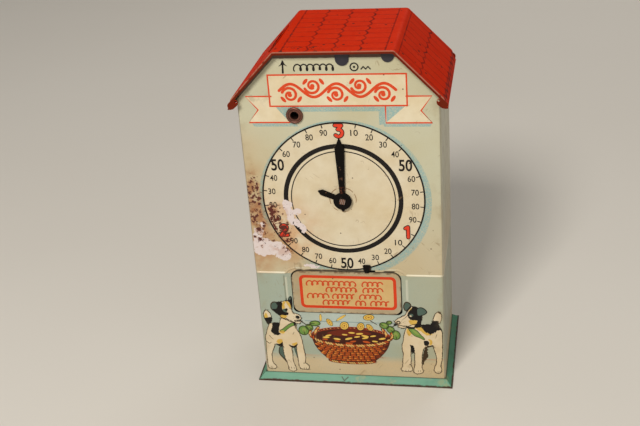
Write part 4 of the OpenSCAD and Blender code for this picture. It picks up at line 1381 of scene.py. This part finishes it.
def coins_inside():
    """Coins that lie in the basket, seen nearly edge-on and kept apart."""
    draw = random.Random(11)
    placed = []
    wanted, tries = 18, 400
    for _ in range(tries):
        angle, reach = draw.uniform(0, 2 * math.pi), math.sqrt(draw.random()) * 0.8
        spot = (
            BASKET_MIDDLE + RIM_W * reach * math.cos(angle),
            RIM_Z - 0.4 + (RIM_H - 0.6) * reach * math.sin(angle),
        )
        near = any(abs(spot[0] - x) < 3.2 and abs(spot[1] - z) < 0.95 for x, z in placed)
        if near or spot[1] > RIM_Z + 2.4:
            continue
        placed.append(spot)
        tilt = draw.uniform(-12, 16)
        ink = rope_orange if spot[1] < RIM_Z - 1.6 and len(placed) % 2 else yellow
        ink.dot(spot, draw.uniform(1.2, 1.7), 16, 0.3, tilt)
        if len(placed) == wanted:
            break


def clover(leaves, stem):
    """Rounded leaves on a stem, dark at the edge and pale in the middle."""
    pen(stem, 0.5, 0.3)
    for centre, radius, squash, tilt in leaves:
        loop = spline(circle(centre, radius, 9, squash, tilt))
        green.fill(loop)
        leaf_dark.outline(loop, 0.42)
        vein.dot((centre[0] + 0.15, centre[1] + 0.25), radius * 0.5, 16, squash * 0.8, tilt)
        leaf_dark.stroke([toward(centre, math.radians(tilt), -radius), centre], 0.5, 0.2)


def clovers():
    """A sprig at each end of the basket."""
    clover(
        [((-16, 29.2), 2.3, 0.55, 5), ((-18.6, 27.1), 1.7, 0.8, 140), ((-21.2, 25.4), 2.3, 0.95, 100)],
        [(-22.2, 30.4), (-21, 29.2), (-19, 28), (-17.8, 28.6)],
    )
    clover(
        [
            ((14.2, 29.2), 2, 0.75, -20),
            ((16.4, 30.8), 1.2, 0.7, 10),
            ((16.9, 27.3), 1.8, 0.85, 130),
            ((19, 24.6), 2.3, 0.85, 100),
        ],
        [(19.2, 30), (18.4, 29.2), (17.2, 28.4)],
    )


def door_label():
    """A red frame round an ochre field, and ornament in four rows."""
    low, high = (-21.2, 37.4), (20.2, 53.6)
    label_field.fill(rounded_box(low, high, 2.2))
    thick = 1.3
    inner_low, inner_high = (low[0] + thick, low[1] + thick), (high[0] - thick, high[1] - thick)
    label_red.fill(rounded_box(low, high, 2.2), rounded_box(inner_low, inner_high, 1.2))
    rows = (
        (49.8, ((-17.9, 3, 2.3), (6, 13.8, 2.1))),
        (46.8, ((-9.6, 3.6, 2.1), (6.2, 13.8, 2))),
        (43.5, ((-17.9, -9.4, 2.2), (-7, 2, 2), (4.6, 13.5, 2.2))),
        (40.4, ((-11.3, 0.2, 2.1), (2.8, 6.6, 1.9), (9.2, 16.6, 2.1))),
    )
    for z, groups in rows:
        for low_x, high_x, pitch in groups:
            looped_line(label_ornament, low_x, high_x, z, 2.2, pitch, 0.62)


dial_face()
banner()
top_sign()
left_dog()
right_dog()
falling_coins()
basket()
clovers()
door_label()
for ink in inks:
    ink.make()


# ---- materials of the frame's own parts ----

bare_tin = Paint("bare_tin")
bare_tin = bare_tin.set(*tin(bare_tin), metal=0.9)
dark_steel = metal_material("dark_steel", srgb(70, 70, 78), srgb(40, 40, 48), 0.36)
spring_steel = metal_material("spring_steel", srgb(176, 176, 178), srgb(120, 118, 116), 0.26, 0.35)
brass = metal_material("brass", srgb(206, 168, 98), srgb(150, 112, 58), 0.3, 0.4)
copper = metal_material("copper_rivet", srgb(150, 96, 70), srgb(98, 60, 46), 0.36, 0.4)
latch_black = black_material()

finishes = {
    "body_shell": case_material(),
    "back_panel": back_material(),
    "roof": roof_material(),
    "base_skirt": skirt_material(),
    "mechanism_plate": plate_material(),
    "lever_eyelet": eyelet_material(),
    "axle": axle_material(),
    "door_panel": door_material(),
}
shared = (
    (bare_tin, ("base_plate", "coin_chute", "hinge_bracket", "door_catch")),
    (latch_black, ("long_hand", "short_hand", "hub_disc", "latch_lever")),
    (dark_steel, ("coin_lever", "pawl", "hinge_pin", "latch_post")),
    (spring_steel, ("click_spring", "lever_spring", "latch_spring", "door_spring", "pawl_spring")),
    (brass, ("ratchet_wheel", "axle_bush", "spacer_washer", "wheel_collar", "release_pin")),
    (copper, ("chute_rivets", "catch_rivets", "pawl_rivet", "stop_pins")),
)
for material, names in shared:
    for name in names:
        finishes[name] = material

for name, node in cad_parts.items():
    node.data.materials.clear()
    node.data.materials.append(finishes[name])

for name, width in (("roof", 0.22), ("base_skirt", 0.12)):
    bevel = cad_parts[name].modifiers.new("fold", "BEVEL")
    bevel.width = width * MM
    bevel.segments = 3
    bevel.limit_method = "ANGLE"
    bevel.angle_limit = math.radians(35)


# ---- floor, light and camera ----


def make_floor():
    """A wide pale sheet that stays flat under the box."""
    mesh = bpy.data.meshes.new("floor")
    reach = 3
    mesh.from_pydata(
        [(-reach, -reach, 0), (reach, -reach, 0), (reach, reach, 0), (-reach, reach, 0)], [], [(0, 1, 2, 3)]
    )
    floor = bpy.data.objects.new("floor", mesh)
    bpy.context.scene.collection.objects.link(floor)
    g = Paint("floor_pale", specular=0.2)
    shade = g.mix(g.noise(260, 2), srgb(222, 217, 208), srgb(216, 210, 200))
    mesh.materials.append(g.set(shade, 0.75))


def area_light(name, place, size, power, colour, aim=(0, 0, 0.07)):
    """A square light that faces the middle of the box. Places and sizes are metres."""
    data = bpy.data.lights.new(name, "AREA")
    data.shape = "SQUARE"
    data.size = size
    data.energy = power
    data.color = colour
    light = bpy.data.objects.new(name, data)
    light.location = place
    light.rotation_mode = "QUATERNION"
    light.rotation_quaternion = (Vector(aim) - Vector(place)).to_track_quat("-Z", "Y")
    bpy.context.scene.collection.objects.link(light)


def make_lights():
    """A soft key high in front, a weak fill from the right, a light behind, and a pale surround."""
    area_light("key", (-0.22, -0.98, 0.95), 0.34, 14.6, (1, 0.97, 0.92))
    area_light("fill", (0.95, -0.75, 0.55), 0.9, 1.4, (1, 0.97, 0.94))
    area_light("back", (0.3, 1.1, 0.9), 0.9, 4, (1, 0.97, 0.93))
    world = bpy.data.worlds.new("studio")
    world.use_nodes = True
    surround = world.node_tree.nodes["Background"]
    surround.inputs["Color"].default_value = (1, 0.97, 0.93, 1)
    surround.inputs["Strength"].default_value = 0.21
    bpy.context.scene.world = world
    bpy.context.scene.view_settings.view_transform = "Standard"


def make_camera():
    """The view from the front, a little to the right and above, slightly rolled."""
    eye = (0.0655, -0.391, 0.2681)
    azimuth, elevation, roll = math.radians(-11.677), math.radians(26.421), math.radians(-4.473)
    ahead = Vector(
        (
            math.sin(azimuth) * math.cos(elevation),
            math.cos(azimuth) * math.cos(elevation),
            -math.sin(elevation),
        )
    )
    right = ahead.cross(Vector((0, 0, 1))).normalized()
    up = right.cross(ahead)
    rolled_right = right * math.cos(roll) + up * math.sin(roll)
    rolled_up = up * math.cos(roll) - right * math.sin(roll)
    data = bpy.data.cameras.new("camera")
    data.lens = 57.19
    data.sensor_width = 36
    data.clip_start = 0.02
    camera = bpy.data.objects.new("camera", data)
    turn = Matrix((rolled_right, rolled_up, -ahead)).transposed().to_4x4()
    camera.matrix_world = Matrix.Translation(eye) @ turn
    bpy.context.scene.collection.objects.link(camera)
    bpy.context.scene.camera = camera


make_floor()
make_lights()
make_camera()
